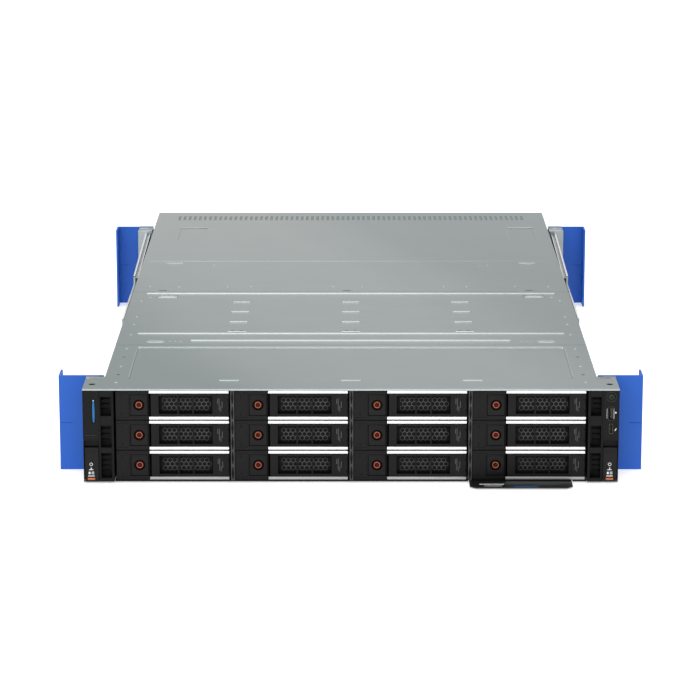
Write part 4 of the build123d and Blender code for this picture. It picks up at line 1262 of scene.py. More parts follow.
    def latch_mesh(self) -> bpy.types.Mesh:
        """The carrier's face block with the button pocket, grooves, back plate and hinge arm."""
        low, high = self.carrier
        button_low, button_high = self.button
        front = low.y
        back = front + self.latch_depth
        right = low.x + self.latch_width
        shape = Shape().box((low.x, front, low.z), (right, back, high.z), 0.35)
        tool = Shape()
        gap = 0.3
        tool.box(
            (button_low.x - gap, front - 1.0, button_low.z - gap),
            (button_high.x + gap, button_high.y + 1.8, button_high.z + gap),
        )
        line = low.x + 12.0
        tool.box((line - 0.25, front - 1.0, low.z + 2.6), (line + 0.25, front + 0.3, high.z - 2.6))
        for h in (low.z + 2.4, high.z - 2.4):
            tool.box((low.x + 1.0, front - 1.0, h - 0.2), (line - 0.6, front + 0.3, h + 0.2))
        for h in (low.z + self.lens_rest, high.z - self.lens_rest):
            tool.box((low.x + 5.0, front - 1.0, h - 1.1), (low.x + 6.4, front + 0.5, h + 1.1))
        shape.cut(tool)
        window = (right + 9.1, right + 9.1 + self.window_width)
        plate = [
            (rectangle((right - 1.0, low.z), (window[0], high.z)), None),
            (
                rectangle((window[0], low.z), (window[1], high.z)),
                rectangle((window[0] + 0.4, low.z + 6.0), (window[1] - 0.4, high.z - 6.0)),
            ),
            (rectangle((window[1], low.z), (high.x, high.z)), None),
        ]
        shape.perforated(plate, Along.Y, back - 2.0, back)
        middle = (low.z + high.z) / 2
        arm_low, arm_high = middle - 5.2, middle + 5.2
        shape.box((high.x - 4.5, front + 2.4, arm_low), (high.x - 0.4, back, arm_high), 0.2)
        pin = (high.x - 2.5, front + 2.5, middle)
        shape.rod(pin, 2.1, arm_high - arm_low, Along.Z, 0.2)
        return shape.mesh("carrier_face")

    def lens_mesh(self) -> bpy.types.Mesh:
        """The carrier's two status lenses."""
        low, high = self.carrier
        shape = Shape()
        a, b = low.x + 5.15, low.x + 6.25
        for h in (low.z + self.lens_rest, high.z - self.lens_rest):
            shape.box((a, low.y + 0.1, h - 0.95), (b, low.y + 1.0, h + 0.95), 0.2)
        return shape.mesh("carrier_lights")

    def sled_mesh(self) -> bpy.types.Mesh:
        """The folded sheet sled with its disk screws."""
        low, high = self.carrier
        back = low.y + self.latch_depth
        middle = (low.x + high.x) / 2
        wall = self.disk_size[0] / 2 + 0.1
        outer = (high.x - low.x) / 2 - 0.1
        floor = outer - 1.3
        shape = Shape()
        for side in (-1, 1):
            edge = sorted((middle + side * outer, middle + side * wall))
            shape.box((edge[0], back, low.z + 0.7), (edge[1], high.y, low.z + 21.0), 0.1)
        shape.box((middle - floor, back, low.z), (middle + floor, high.y - 12.0, low.z + 0.75), 0.1)
        for side in (-1, 1):
            for d in (back + 26.0, back + 86.0, back + 128.0):
                centre = (middle + side * (outer - 0.15), d, low.z + 8.0)
                shape.rod(centre, 2.6, 0.5, Along.X, 0.1)
        return shape.mesh("carrier_sled")

    def disk_mesh(self) -> bpy.types.Mesh:
        """A 3.5-inch disk: cast body, raised lid with a spindle boss and lid screws."""
        low, high = self.carrier
        middle = (low.x + high.x) / 2
        half = self.disk_size[0] / 2 - 0.05
        end = DATUM.box("drive_backplane")[0].y + 8.5 - self.plug_depth
        start = end - self.disk_size[1]
        floor = low.z + 0.8
        lid = floor + self.disk_size[2]
        a, b = middle - half, middle + half
        body = rounded((a, start), (b, end), 3.0)
        cap = rounded((a + 2.5, start + 2.5), (b - 2.5, end - 12.0), 6.0)
        shape = Shape().prism(body, Along.Z, floor, lid - 1.4, 0.4)
        shape.prism(cap, Along.Z, lid - 1.4, lid - 0.3, 0.3)
        shape.rod((middle, start + 50.0, lid - 0.3), 17.0, 0.5, Along.Z, 0.15, 40)
        shape.rod((middle + 26.0, start + 108.0, lid - 0.3), 8.0, 0.5, Along.Z, 0.15, 32)
        for x in (-half + 7.0, half - 7.0):
            for d in (start + 7.0, (start + end) / 2 - 6.0, end - 18.0):
                shape.rod((middle + x, d, lid - 0.3), 2.4, 0.5, Along.Z, 0.1)
        return shape.mesh("hard_disk")

    def turned(self, profile: Sequence[Flat]) -> Shape:
        """A round shape on the release button's axis.

        Args:
            profile: its radius and its depth behind the button's face, point by point.

        Returns:
            The shape.
        """
        low, high = self.button
        centre = ((low.x + high.x) / 2, low.y, (low.z + high.z) / 2)
        return Shape().turned(centre, profile, Along.Y, self.round_sides)

    def button_mesh(self) -> bpy.types.Mesh:
        """The square release button with the round dish that holds its ring."""
        low, high = self.button
        rim = self.dish_radius
        shape = Shape().box(tuple(low), tuple(high), 0.5)
        dish = [(0.0, -1.0), (rim + 0.9, -1.0), (rim, 0.0), (4.3, 1.5), (0.0, 1.5)]
        return shape.cut(self.turned(dish)).mesh("button_face")

    def ring_mesh(self) -> bpy.types.Mesh:
        """The orange ring in the button's dish."""
        outer, inner = self.ring_radius, self.ring_radius - self.ring_wall
        profile = [
            (inner, 1.6), (inner, 0.35), (inner + 0.25, 0.1),
            (outer - 0.25, 0.1), (outer, 0.35), (outer, 1.6),
        ]
        return self.turned(profile).mesh("button_ring")

    def dish_mesh(self) -> bpy.types.Mesh:
        """A dark ring between the orange ring and the button's dish, painted shade of the recess with
        a reddish tint.
        """
        inner, outer = self.ring_radius - 0.2, self.dish_radius - 0.1
        profile = [(inner, 1.9), (inner, 1.2), (4.2, 1.2), (outer, 0.15), (outer, 0.5), (4.2, 1.9)]
        return self.turned(profile).mesh("button_dish")

    def well_mesh(self) -> bpy.types.Mesh:
        """The dark red cup inside the ring."""
        inner = self.ring_radius - self.ring_wall
        profile = [(0.0, 2.2), (0.0, 1.5), (inner * 0.5, 1.4), (inner, 0.7), (inner, 2.2)]
        return self.turned(profile).mesh("button_well")


@dataclass
class DividerTrims:
    """Relief strips on the fronts of the three inner bay dividers."""

    pitch: float = 14.0
    width: float = 3.3
    link_width: float = 2.3
    link_height: float = 12.4
    point: float = 0.7
    thick: float = 0.9
    links: int = 6
    sill_spans: tuple[Flat, ...] = ((-213.0, 106.0), (200.2, 213.0))

    def build(self) -> None:
        """Makes one strip and lays it on each inner divider."""
        front = DATUM.box("bay_dividers")[0].y
        bottom = DATUM.box(f"drive_carrier_{FIRST_BAY}")[0].z - 0.3
        x = (DATUM.box("drive_carrier_c1r3")[1].x + DATUM.box("drive_carrier_c2r3")[0].x) / 2
        cells = [self.cell(x, bottom + k * self.pitch) for k in range(self.links)]
        shape = Shape().perforated(cells, Along.Y, front - self.thick, front)
        data = shape.mesh("divider_trim")
        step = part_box("drive_carrier_c2r3")[0].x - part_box("drive_carrier_c1r3")[0].x
        for k, name in enumerate(("left", "centre", "right")):
            shift = Vector((k * step, 0, 0))
            lay(data, f"divider_trim_{name}", Finishes.TRIM, "chassis", shift)
        log.info("divider trims laid")
        self.sill()

    def cell(self, x: float, low: float) -> tuple[list[Flat], list[Flat]]:
        """Outlines of one link of the strip and of its pointed hole.

        Args:
            x: middle of the strip.
            low: the link's lower end.

        Returns:
            The outer outline and the hole's outline.
        """
        half, tip, reach = self.width / 2, self.point / 2, self.link_width / 2
        rest = (self.pitch - self.link_height) / 2
        middle, high = low + self.pitch / 2, low + self.pitch
        outer = [
            (x - half, low), (x + half, low), (x + half, middle),
            (x + half, high), (x - half, high), (x - half, middle),
        ]
        inner = [
            (x - tip, low + rest), (x + tip, low + rest), (x + reach, middle),
            (x + tip, high - rest), (x - tip, high - rest), (x - reach, middle),
        ]
        return outer, inner

    def sill(self) -> None:
        """The black sill under the lowest bays, open where the tag slides."""
        shape = Shape()
        for start, end in self.sill_spans:
            shape.box((start, 2.6, 0.05), (end, 16.0, 1.1), 0.2)
        shape.lay("bay_sill", Finishes.EAR, "chassis")


@dataclass
class CoverDetails:
    """Pressed ridges, rivets, hooks and the vent liner of the three covers."""

    top: float = 86.8
    column: float = 110.5
    bead_height: float = 1.04
    louvre_rows: tuple[float, ...] = (266.8, 311.9, 355.7)
    mark: Flat = (19.4, 3.4)
    rear_rivets: tuple[float, ...] = (
        -207.9, -178.0, -127.9, -103.6, -18.1, 11.6, 96.5, 120.3, 170.1, 204.7,
    )
    front_rivets: tuple[float, ...] = (24.0, 84.6, 154.1)
    middle_rivets: tuple[float, ...] = (211.8, 256.0, 289.6, 361.9)
    corners: Flat = (-178.5, 192.5)
    rivet_x: float = 212.4
    rivet_d: float = 430.2
    front_rivet: Flat = (3.6, 3.6)
    middle_rivet: Flat = (3.5, 3.5)
    rear_rivet: Flat = (3.3, 3.3)
    panel_line: Flat = (160.3, 404.0)
    fold_line: Flat = (559.0, 432.0)
    beads: tuple[Flat, ...] = ((188.7, 308.4), (217.7, 414.4), (397.2, 420.4))
    bead_width: float = 4.2
    slot_places: tuple[float, ...] = (-194.0, -4.1, 184.1)
    vent_d: Flat = (786.0, 818.0)
    vent_half: float = 198.0
    vent_count: int = 68

    def build(self) -> None:
        """Lays the details on each cover."""
        self.front()
        self.middle()
        self.hooks()
        self.rear()
        self.liner()

    def front(self) -> None:
        """Tabs, sunk panel edges, rivets and folded lip of the front cover; the panel line is a
        painted highlight in a lighter steel.
        """
        bright, soft = Shape(), Shape()
        for x in (-self.column, 0.0, self.column):
            soft.dome((x, 31.0), self.mark, self.top, 0.75)
        d, length = self.panel_line
        bright.dome((0.0, d), (length, 1.7), self.top, 0.35)
        for side in (-1, 1):
            soft.dome((side * 202.4, 100.0), (116.0, 0.7), self.top, 0.10, True)
            for d in self.front_rivets:
                soft.dome((side * self.rivet_x, d), self.front_rivet, self.top, 0.6)
        soft.box((-240.9, -0.05, self.top - 0.95), (240.9, 0.25, self.top - 0.15), 0.1)
        bright.lay("front_panel_line", Finishes.HIGHLIGHT_EDGE, "chassis")
        soft.lay("front_cover_ridges", Finishes.RIDGE, "chassis")

    def middle(self) -> None:
        """Beads, louvres, ovals and rivets of the middle cover; the beads are painted highlights in a
        lighter steel.
        """
        bright, soft = Shape(), Shape()
        for d, length in self.beads:
            bright.dome((0.0, d), (length, self.bead_width), self.top, self.bead_height)
        for d in self.louvre_rows:
            for x in (-self.column, 0.0, self.column):
                soft.dome((x, d), self.mark, self.top, self.bead_height)
        for side in (-1, 1):
            soft.dome((side * 187.0, 184.7), (18.4, 9.4), self.top, 0.62)
            for k in (0, 1, 2):
                soft.dome((side * (163.0 + 5 * k), 184.7), (2.6, 1.6), self.top, 0.25)
            for d in self.middle_rivets:
                soft.dome((side * self.rivet_x, d), self.middle_rivet, self.top, 0.6)
            soft.dome((side * 204.6, 378.0), (3.2, 3.2), self.top, 0.3)
        bright.lay("middle_cover_beads", Finishes.HIGHLIGHT_EDGE, "chassis")
        soft.lay("middle_cover_ridges", Finishes.RIDGE, "chassis")

    def hooks(self) -> None:
        """Bridged hooks on the middle cover, painted as highlights in a lighter steel, with dark marks
        in front of and behind them painted as their shadows.
        """
        hooks, shade_marks = Shape(), Shape()
        for x in (-self.column, 0.0, self.column):
            hooks.dome((x, 222.4), (19.0, 3.0), self.top, 1.03)
            shade_marks.dome((x, 217.6), (17.0, 2.2), self.top + 0.9, 0.16)
            for k in (-4, 4):
                shade_marks.dome((x + k, 231.0), (3.8, 1.8), self.top - 0.3, 0.2)
        hooks.lay("cover_hooks", Finishes.HIGHLIGHT_EDGE, "chassis")
        shade_marks.lay("cover_hook_painted_shadows", Finishes.DARK, "chassis")

    def rear(self) -> None:
        """Rivets, corner bars and small marks of the rear cover, and dark floors under its three
        openings painted as the shade in them.
        """
        shape, shade_marks = Shape(), Shape()
        for x in self.rear_rivets:
            shape.dome((x, self.rivet_d), self.rear_rivet, self.top, 0.62)
        d, length = self.fold_line
        shape.dome((0.0, d), (length, 1.1), self.top, 0.33)
        for x in self.corners:
            shape.dome((x, 744.4), (30.4, 4.2), self.top, 0.55)
            for edge in (-15.0, 15.0):
                shape.dome((x + edge, 708.0), (72.0, 0.7), self.top, 0.05, True)
        for side in (-1, 1):
            shape.dome((side * 189.5, 548.5), self.mark, self.top, 0.62)
            shape.dome((side * 190.5, 541.0), (7.0, 1.6), self.top, 0.15)
            for x, d in ((138.4, 537.0), (146.4, 535.0), (146.4, 541.0)):
                shape.dome((side * x, d), (2.2, 1.8), self.top, 0.22)
        # dark floors under the three openings are painted shade
        for x in self.slot_places:
            shade_marks.box((x - 4.2, 410.5, self.top - 1.6), (x + 4.2, 412.8, self.top - 0.7), 0.2)
        shape.lay("rear_cover_ridges", Finishes.RIDGE, "top_cover")
        shade_marks.lay("rear_cover_slot_painted_shade", Finishes.DARK, "top_cover")

    def liner(self) -> None:
        """The grey baffle close under the rear vent row, raised a little into each slot."""
        start, end = self.vent_d
        half, top = self.vent_half + 6.0, self.top
        shape = Shape().box((-half, start, top - 2.0), (half, end, top - 1.3), 0.1)
        for d in (start + 1.0, end - 1.0):
            shape.box((-half, d - 0.4, top - 1.8), (half, d + 0.4, top - 1.02))
        for k in range(self.vent_count):
            x = self.vent_half * (2.0 * k / (self.vent_count - 1) - 1.0)
            shape.box((x - 1.3, start + 4.1, top - 1.5), (x + 1.3, end - 4.1, top - 0.5), 0.1)
        shape.lay("vent_liner", Finishes.BAFFLE, "top_cover")


@dataclass
class EarDetails:
    """Lights, marks, ports, ribs and lever marks of the two front ears."""

    strip: float = 233.8
    outer: float = 241.0
    inner: float = 213.2
    top: float = 85.2
    windows: tuple[Flat, ...] = ((3.7, 27.3), (32.2, 52.8), (61.6, 79.5))
    window_sides: Flat = (215.5, 224.9)
    slat_pitch: float = 4.2
    slat: float = 0.7
    grip_sides: Flat = (227.4, 239.6)
    sign_front: float = 0.26
    usb_middle: float = 64.0
    usb_size: Flat = (4.9, 12.6)

    def build(self) -> None:
        """Lays the details on both ears."""
        self.ribs()
        self.marks()
        self.light()
        self.power()
        self.ports()

    def ribs(self) -> None:
        """Vent slats, the raised inner edge and the seam lines of both ears."""
        slats, edges, lines, grooves = Shape(), Shape(), Shape(), Shape()
        for side in (-1, 1):
            near, far = self.window_sides
            a, b = sorted((side * near, side * far))
            for low, high in self.windows:
                count = int((high - low) / self.slat_pitch)
                for k in range(1, count):
                    h = low + k * (high - low) / count
                    slats.box((a, 7.8, h - self.slat / 2), (b, 9.4, h + self.slat / 2), 0.12)
                x = sorted((side * near, side * (near + 2.1)))
                slats.box((x[0], 6.4, low + 0.2), (x[1], 9.6, high - 0.2), 0.15)
            edge = sorted((side * (self.inner + 0.15), side * (self.inner + 1.75)))
            edges.box((edge[0], -0.4, 1.0), (edge[1], 0.3, self.top - 0.4), 0.2)
            rim = sorted((side * 225.0, side * 226.9))
            grooves.box((rim[0], -0.12, 1.2), (rim[1], 0.2, self.top - 0.4), 0.05)
            rim = sorted((side * (self.outer - 0.7), side * (self.outer - 0.1)))
            edges.box((rim[0], -0.3, 0.8), (rim[1], 0.2, self.top - 0.6), 0.12)
            foot = sorted((side * 226.3, side * 240.9))
            edges.box((foot[0], -0.35, 0.45), (foot[1], 0.2, 1.7), 0.15)
            span = sorted((side * self.grip_sides[0], side * self.grip_sides[1]))
            grooves.box((span[0], -0.12, 39.0), (span[1], 0.2, 39.7), 0.05)
        lines.box((-self.grip_sides[1], -0.12, 43.5), (-229.2, 0.1, 43.8), 0.05)
        grooves.lay("ear_seam_strips", Finishes.DARK, "chassis")
        slats.lay("ear_vent_slats", Finishes.DARK, "chassis")
        edges.lay("ear_raised_edges", Finishes.EAR, "chassis")
        lines.lay("ear_seam_lines", Finishes.CHIP, "chassis")

    def marks(self) -> None:
        """Plain white signs and an orange bar on both levers, and grip lines above them."""
        white, orange, grips = Shape(), Shape(), Shape()
        for side in (-1, 1):
            x = side * self.strip - 0.4
            front = self.sign_front
            white.box((x - 2.9, front, 5.3), (x + 2.9, 0.5, 6.1), 0.08)
            white.box((x - 2.4, front, 7.4), (x - 0.7, 0.5, 9.6), 0.08)
            white.box((x + 0.2, front, 7.4), (x + 2.6, 0.5, 8.1), 0.08)
            white.box((x + 0.2, front, 8.9), (x + 2.6, 0.5, 9.6), 0.08)
            white.box((x - 2.0, front, 11.2), (x + 1.8, 0.5, 11.9), 0.08)
            white.box((x - 0.4, front, 11.7), (x + 0.4, 0.5, 13.6), 0.08)
            white.ring((x, 0.42, 16.6), 1.3, 0.26, Along.Y, 20)
            orange.box((x - 3.3, front, 2.0), (x + 3.3, 0.5, 3.9), 0.15)
            for k in range(3):
                h = 26.4 + 1.6 * k
                grips.box((x - 4.4, 0.22, h), (x + 5.2, 0.5, h + 0.5), 0.1)
        white.lay("ear_white_signs", Finishes.PRINT, "release_levers")
        orange.lay("ear_orange_bars", Finishes.ORANGE, "release_levers")
        grips.lay("lever_grip_lines", Finishes.LEVER, "release_levers")

    def light(self) -> None:
        """The blue light pipe of the left ear and its pale tip."""
        x = -self.strip + 2.6
        half = [(0.0, 10.6), (0.75, 9.4), (1.05, 4.0), (1.05, -4.0), (0.7, -9.0), (0.0, -10.2)]
        outline = [(x + a, 65.4 + b) for a, b in half]
        outline += [(x - a, 65.4 + b) for a, b in reversed(half[1:-1])]
        pipe = Shape().prism(outline, Along.Y, 0.0, 0.78, 0.1)
        pipe.lay("status_light_pipe", Finishes.LIGHT, "chassis")
        tip = Shape().dome((x, 75.9), (1.3, 1.3), 0.4, -0.5, False, Along.Y)
        tip.lay("status_light_tip", Finishes.PALE, "chassis")

    def power(self) -> None:
        """Ring and bar sign on the power button."""
        sign = Shape().ring((self.strip, -0.32, 79.3), 1.75, 0.24, Along.Y)
        sign.box((self.strip - 0.2, -0.45, 79.9), (self.strip + 0.2, -0.2, 81.6), 0.08)
        sign.lay("power_button_sign", Finishes.GREEN, "power_switch")
        collar = Shape().ring((self.strip, 0.0, 79.3), 4.25, 0.3, Along.Y, 40)
        collar.lay("power_button_collar", Finishes.CHIP, "chassis")

    def ports(self) -> None:
        """Metal shells, tongues and contacts of the two service ports, and their signs."""
        x, middle = self.strip, self.usb_middle
        half, tall = self.usb_size[0] / 2, self.usb_size[1] / 2
        low, high = (x - half, -0.25, middle - tall), (x + half, 8.8, middle + tall)
        shell = Shape().tube(low, high, 0.42, Along.Y, 0.1)
        shell.lay("usb_shell", Finishes.CHIP, "chassis")
        wall = Shape().box((x + 2.25, -0.42, 59.2), (x + 2.6, 0.4, 68.8), 0.08)
        wall.lay("usb_shell_edge", Finishes.SHELL, "chassis")
        tongue = Shape().box((x - 0.35, 0.9, 58.9), (x + 1.55, 8.9, 69.1), 0.15)
        tongue.box((x - 0.35, 1.2, 46.8), (x + 0.35, 8.6, 52.8), 0.1)
        tongue.lay("usb_tongue", Finishes.CHIP, "chassis")
        gold = Shape()
        for k in range(4):
            h = 60.4 + 2.25 * k
            gold.box((x - 0.5, 2.4, h), (x - 0.3, 7.0, h + 1.0), 0.04)
        gold.lay("port_contacts", Finishes.GOLD, "chassis")
        shell = Shape().tube((x - 1.6, -0.2, 45.4), (x + 1.6, 8.8, 54.2), 0.26, Along.Y, 0.08)
        shell.lay("micro_usb_shell", Finishes.RIM, "chassis")
        signs = Shape()
        signs.dome((x + 4.1, 64.8), (1.1, 1.6), -0.02, -0.12, False, Along.Y)
        slash = [(x + 3.2, 48.1), (x + 3.9, 47.8), (x + 5.1, 50.0), (x + 4.5, 50.4)]
        signs.prism(slash, Along.Y, -0.12, 0.1, 0.05)
        signs.box((x - 3.9, -0.12, 59.4), (x - 3.65, 0.1, 68.8), 0.05)
        signs.lay("port_signs", Finishes.PRINT, "chassis")


@dataclass
class TagDetails:
    """Plain marks and the light line on the pull-out tag."""

    top: float = 1.05
    front: float = -21.0
    left: float = 106.7

    def build(self) -> None:
        """Lays the marks on the tag."""
        bars = Shape()
        low, high = self.top - 0.05, self.top + 0.07
        for start, end, near, far in ((9.0, 31.0, 9.6, 11.8), (13.0, 29.0, 4.6, 5.8)):
            a, b = self.left + start, self.left + end
            bars.box((a, self.front + near, low), (b, self.front + far, high), 0.03)
        bars.lay("tag_light_marks", Finishes.PRINT, "tag")
        grey = Shape()
        a, b = self.left + 58.0, self.left + 82.0
        grey.box((a, self.front + 9.4, low), (b, self.front + 10.4, high), 0.03)
        grey.lay("tag_grey_marks", Finishes.GREY_PRINT, "tag")
        a, b = self.left + 39.5, self.left + 61.5
        line = Shape().box((a, self.front + 0.05, low), (b, self.front + 5.0, high), 0.03)
        line.lay("tag_blue_line", Finishes.TAG_BLUE, "tag")


@dataclass
class RackDetails:
    """Springs, rivets and latch parts of the slides and their brackets."""

    arm_x: float = 231.0
    bracket_rear: float = 746.0
    rear_arm_end: float = 531.0
    lip_start: float = 366.0
    rivet_depths: tuple[float, ...] = (80.0, 95.0, 548.0, 606.0, 654.0, 700.0)
    rivet_heights: Flat = (46.0, 62.0)
    coils: int = 7
    coil_pitch: float = 1.15
    peg_depths: Flat = (41.2, 752.0)
    peg_heights: Flat = (28.0, 59.0)
    cage_heights: Flat = (25.6, 63.9)
    cage_start: float = 80.0
    cage_pitch: float = 14.0
    cage_count: int = 22

    def build(self) -> None:
        """Lays the details on both sides."""
        bright, latch = Shape(), Shape()
        rear = self.bracket_rear
        for side in (-1, 1):
            for d in self.rivet_depths:
                x = side * (self.arm_x + 2.0)
                for h in self.rivet_heights:
                    bright.rod((x, d, h), 2.4, 0.9, Along.X, 0.3, 20)
            for k in range(self.coils):
                x = side * (self.arm_x - 1.6 + self.coil_pitch * k)
                bright.ring((x, rear - 15.0, 85.9), 1.6, 0.3, Along.X, 20)
            a, b = sorted((side * 225.4, side * 240.8))
            latch.box((a, rear - 24.6, 87.5), (b, rear - 0.6, 87.7), 0.06)
            a, b = sorted((side * 229.4, side * 239.8))
            bright.rod((side * 234.6, rear - 15.0, 85.6), 0.8, 10.0, Along.X, 0.2)
            latch.box((a, rear - 11.0, 87.2), (b, rear - 4.0, 87.84), 0.15)
            latch.dome((side * 234.0, rear - 19.0), (6.0, 3.0), 87.5, 0.3)
            latch.box((a, 43.6, 86.6), (b, 45.0, 87.6), 0.2)
            bright.dome((side * 235.0, 44.4), (5.0, 1.4), 87.0, 0.7)
            for d in self.peg_depths:
                for h in self.peg_heights:
                    bright.rod((side * 233.0, d, h), 2.6, 1.0, Along.Y, 0.3, 20)
        bright.lay("slide_rivets_and_springs", Finishes.ZINC, "rack")
        self.arms()
        latch.lay("bracket_latches", Finishes.GILT, "rack")
        self.slides()

    def arms(self) -> None:
        """Bright bars along the rear bracket arms' edges and the front brackets' lips, both painted
        highlights, and the inner flanges of the arms.
        """
        edges, flanges, fronts = Shape(), Shape(), Shape()
        slope = (self.rear_arm_end, self.bracket_rear - 25.2)
        for side in (-1, 1):
            outer = sorted((side * 231.0, side * 232.8))
            inner = sorted((side * 227.4, side * 228.3))
            fold = sorted((side * 227.6, side * 231.2))
            # thin bars in the bright strip finish: painted highlights along the arm's edges
            edges.prism(sloped(slope, (76.3, 84.2), 0.55), Along.X, *outer)
            edges.prism(sloped(slope, (74.6, 82.5), 1.0), Along.X, *inner)
            edges.box((outer[0], self.lip_start, 67.4), (outer[1], self.rear_arm_end, 67.75), 0.12)
            flanges.prism(sloped(slope, (74.0, 81.9), 0.6), Along.X, *fold)
            gusset = [(slope[0], 75.8), (slope[1], 75.8), (slope[1], 84.2), (slope[0], 76.4)]
            flanges.prism(gusset, Along.X, *outer)
            lip = sorted((side * 217.4, side * 240.6))
            # pale plate on the bracket's face: painted highlight
            fronts.box((lip[0], 42.85, 82.6), (lip[1], 43.3, 86.75), 0.1)
        fronts.lay("bracket_front_painted_highlight", Finishes.HIGHLIGHT_EDGE, "rack")
        edges.lay("arm_edges_painted_highlight", Finishes.STRIP, "rack")
        flanges.lay("arm_flanges", Finishes.TUB, "rack")

    def slides(self) -> None:
        """Ball cages and stop tabs on the moving members."""
        cages = Shape()
        for side in (-1, 1):
            a, b = sorted((side * 219.6, side * 222.8))
            for h in self.cage_heights:
                for k in range(self.cage_count):
                    d = self.cage_start + self.cage_pitch * k
                    cages.dome(((a + b) / 2, d), (2.2, 2.2), h, 0.35)
        cages.lay("slide_ball_cages", Finishes.SHELL, "middle_slides")


@dataclass
class RearDetails:
    """Supply faces, slot plates, jacks and screws at the back."""

    back: float = 837.0
    supply_middle: float = 170.8
    supply_low: float = 1.6
    supply_height: float = 40.0
    supply_half: float = 42.6
    supply_reach: float = 1.5
    inlet_shift: float = 20.0
    inlet_half: Flat = (13.5, 10.0)
    inlet_wall: float = 1.0
    grip_shift: float = -36.0
    plate_places: tuple[float, ...] = (-78.0, 0.0, 78.0)
    plate_lows: tuple[float, ...] = (28.0, 47.0, 66.0)
    plate_size: Flat = (72.0, 16.0)
    jack_places: Flat = (-52.0, -32.0)
    contacts: int = 8
    contact_pitch: float = 1.15

    def build(self) -> None:
        """Lays the details on the rear wall and the supplies."""
        for side, name in ((-1, "left"), (1, "right")):
            self.supply(side * self.supply_middle, f"supply_{name}")
        self.plates()
        self.jacks()

    def supply(self, x: float, body: str) -> None:
        """Frame, grille, inlet, grip, latch and lamp of one power supply.

        Args:
            x: the supply's middle.
            body: its CAD body.
        """
        face = self.back + self.supply_reach
        low, high = self.supply_low, self.supply_low + self.supply_height
        a, b = x - self.supply_half, x + self.supply_half
        panel = Shape().tube((a, face, low + 0.4), (b, face + 0.7, high - 0.4), 1.6, Along.Y, 0.2)
        panel.box((x + 4.4, face, low + 1.6), (x + 5.6, face + 0.7, high - 1.6), 0.15)
        panel.lay(f"{body}_frame", Finishes.SUPPLY, body)
        cells = honeycomb((x - 30.0, low + 2.6), (x + 4.0, high - 2.6), 4.4, 3.7)
        grille = Shape().perforated(cells, Along.Y, face + 0.05, face + 0.55)
        grille.lay(f"{body}_grille", Finishes.DARK, body)
        self.inlet(x + self.inlet_shift, low + self.supply_height / 2, face, body)
        grip = x + self.grip_shift
        outline = rounded((grip - 2.6, low + 17.4), (grip + 2.6, low + 32.6), 1.6)
        sleeve = Shape().prism(outline, Along.Y, face + 17.4, face + 21.95, 0.5)
        sleeve.lay(f"{body}_grip_sleeve", Finishes.LEVER, body)
        latch = Shape().box((x + 37.0, face + 0.6, low + 6.0), (x + 40.6, face + 5.0, low + 30.0), 0.6)
        for k in range(4):
            h = low + 9.0 + 4.6 * k
            latch.box((x + 36.8, face + 4.8, h), (x + 40.8, face + 5.5, h + 1.6), 0.2)
        latch.lay(f"{body}_latch", Finishes.ORANGE, body)
        lamp = Shape().dome((x + 9.6, low + 4.4), (2.4, 2.4), face + 0.6, 0.5, False, Along.Y)
        lamp.lay(f"{body}_lamp", Finishes.GREEN, body)

    def inlet(self, x: float, h: float, face: float, body: str) -> None:
        """The mains inlet of one power supply with its three pins.

        Args:
            x: the inlet's middle.
            h: height of its middle.
            face: depth of the supply's face.
            body: the supply's CAD body.
        """
        wide, tall = self.inlet_half
        low, high = (x - wide, face - 13.8, h - tall), (x + wide, face + 0.9, h + tall)
        cup = Shape().tube(low, high, self.inlet_wall + 0.1, Along.Y, 0.25)
        wide, tall = wide - self.inlet_wall, tall - self.inlet_wall
        cup.box((x - wide, face - 13.9, h - tall), (x + wide, face - 13.1, h + tall))
        cup.lay(f"{body}_inlet", Finishes.CHIP, body)
        pins = Shape()
        for dx, dh in ((-7.0, -2.0), (0.0, 3.0), (7.0, -2.0)):
            a, b = x + dx, h + dh
            pins.box((a - 1.0, face - 13.2, b - 2.0), (a + 1.0, face - 3.0, b + 2.0), 0.3)
        pins.lay(f"{body}_pins", Finishes.SHELL, body)

    def plates(self) -> None:
        """Perforated slot plates with their screws between the supplies, dark sheets behind their
        holes painted as the shade inside, and a row of rivets.
        """
        plates, screws, shade_backs = Shape(), Shape(), Shape()
        back, (wide, tall) = self.back, self.plate_size
        for x in self.plate_places:
            a, b = x - wide / 2, x + wide / 2
            for low in self.plate_lows:
                high = low + tall
                plates.tube((a, back, low), (b, back + 0.8, high), 1.8, Along.Y, 0.2)
                cells = honeycomb((a + 1.0, low + 0.8), (b - 1.0, high - 0.8), 4.6, 3.5)
                plates.join(Shape().perforated(cells, Along.Y, back + 0.1, back + 0.6))
                # thin dark sheet behind the holes: painted shade
                shade_backs.box((a + 1.0, back - 0.02, low + 1.0), (b - 1.0, back + 0.12, high - 1.0))
                for screw in (a + 3.4, b - 3.4):
                    screws.rod((screw, back + 1.0, low + tall / 2), 2.3, 1.0, Along.Y, 0.3, 20)
        for k in range(12):
            screws.dome((-198.0 + 36.0 * k, 83.6), (2.6, 2.6), back, 0.5, False, Along.Y)
        plates.lay("slot_plates", Finishes.TUB, "chassis")
        shade_backs.lay("slot_plate_painted_shade", Finishes.DARK, "chassis")
        screws.lay("rear_screws", Finishes.LOCK, "chassis")

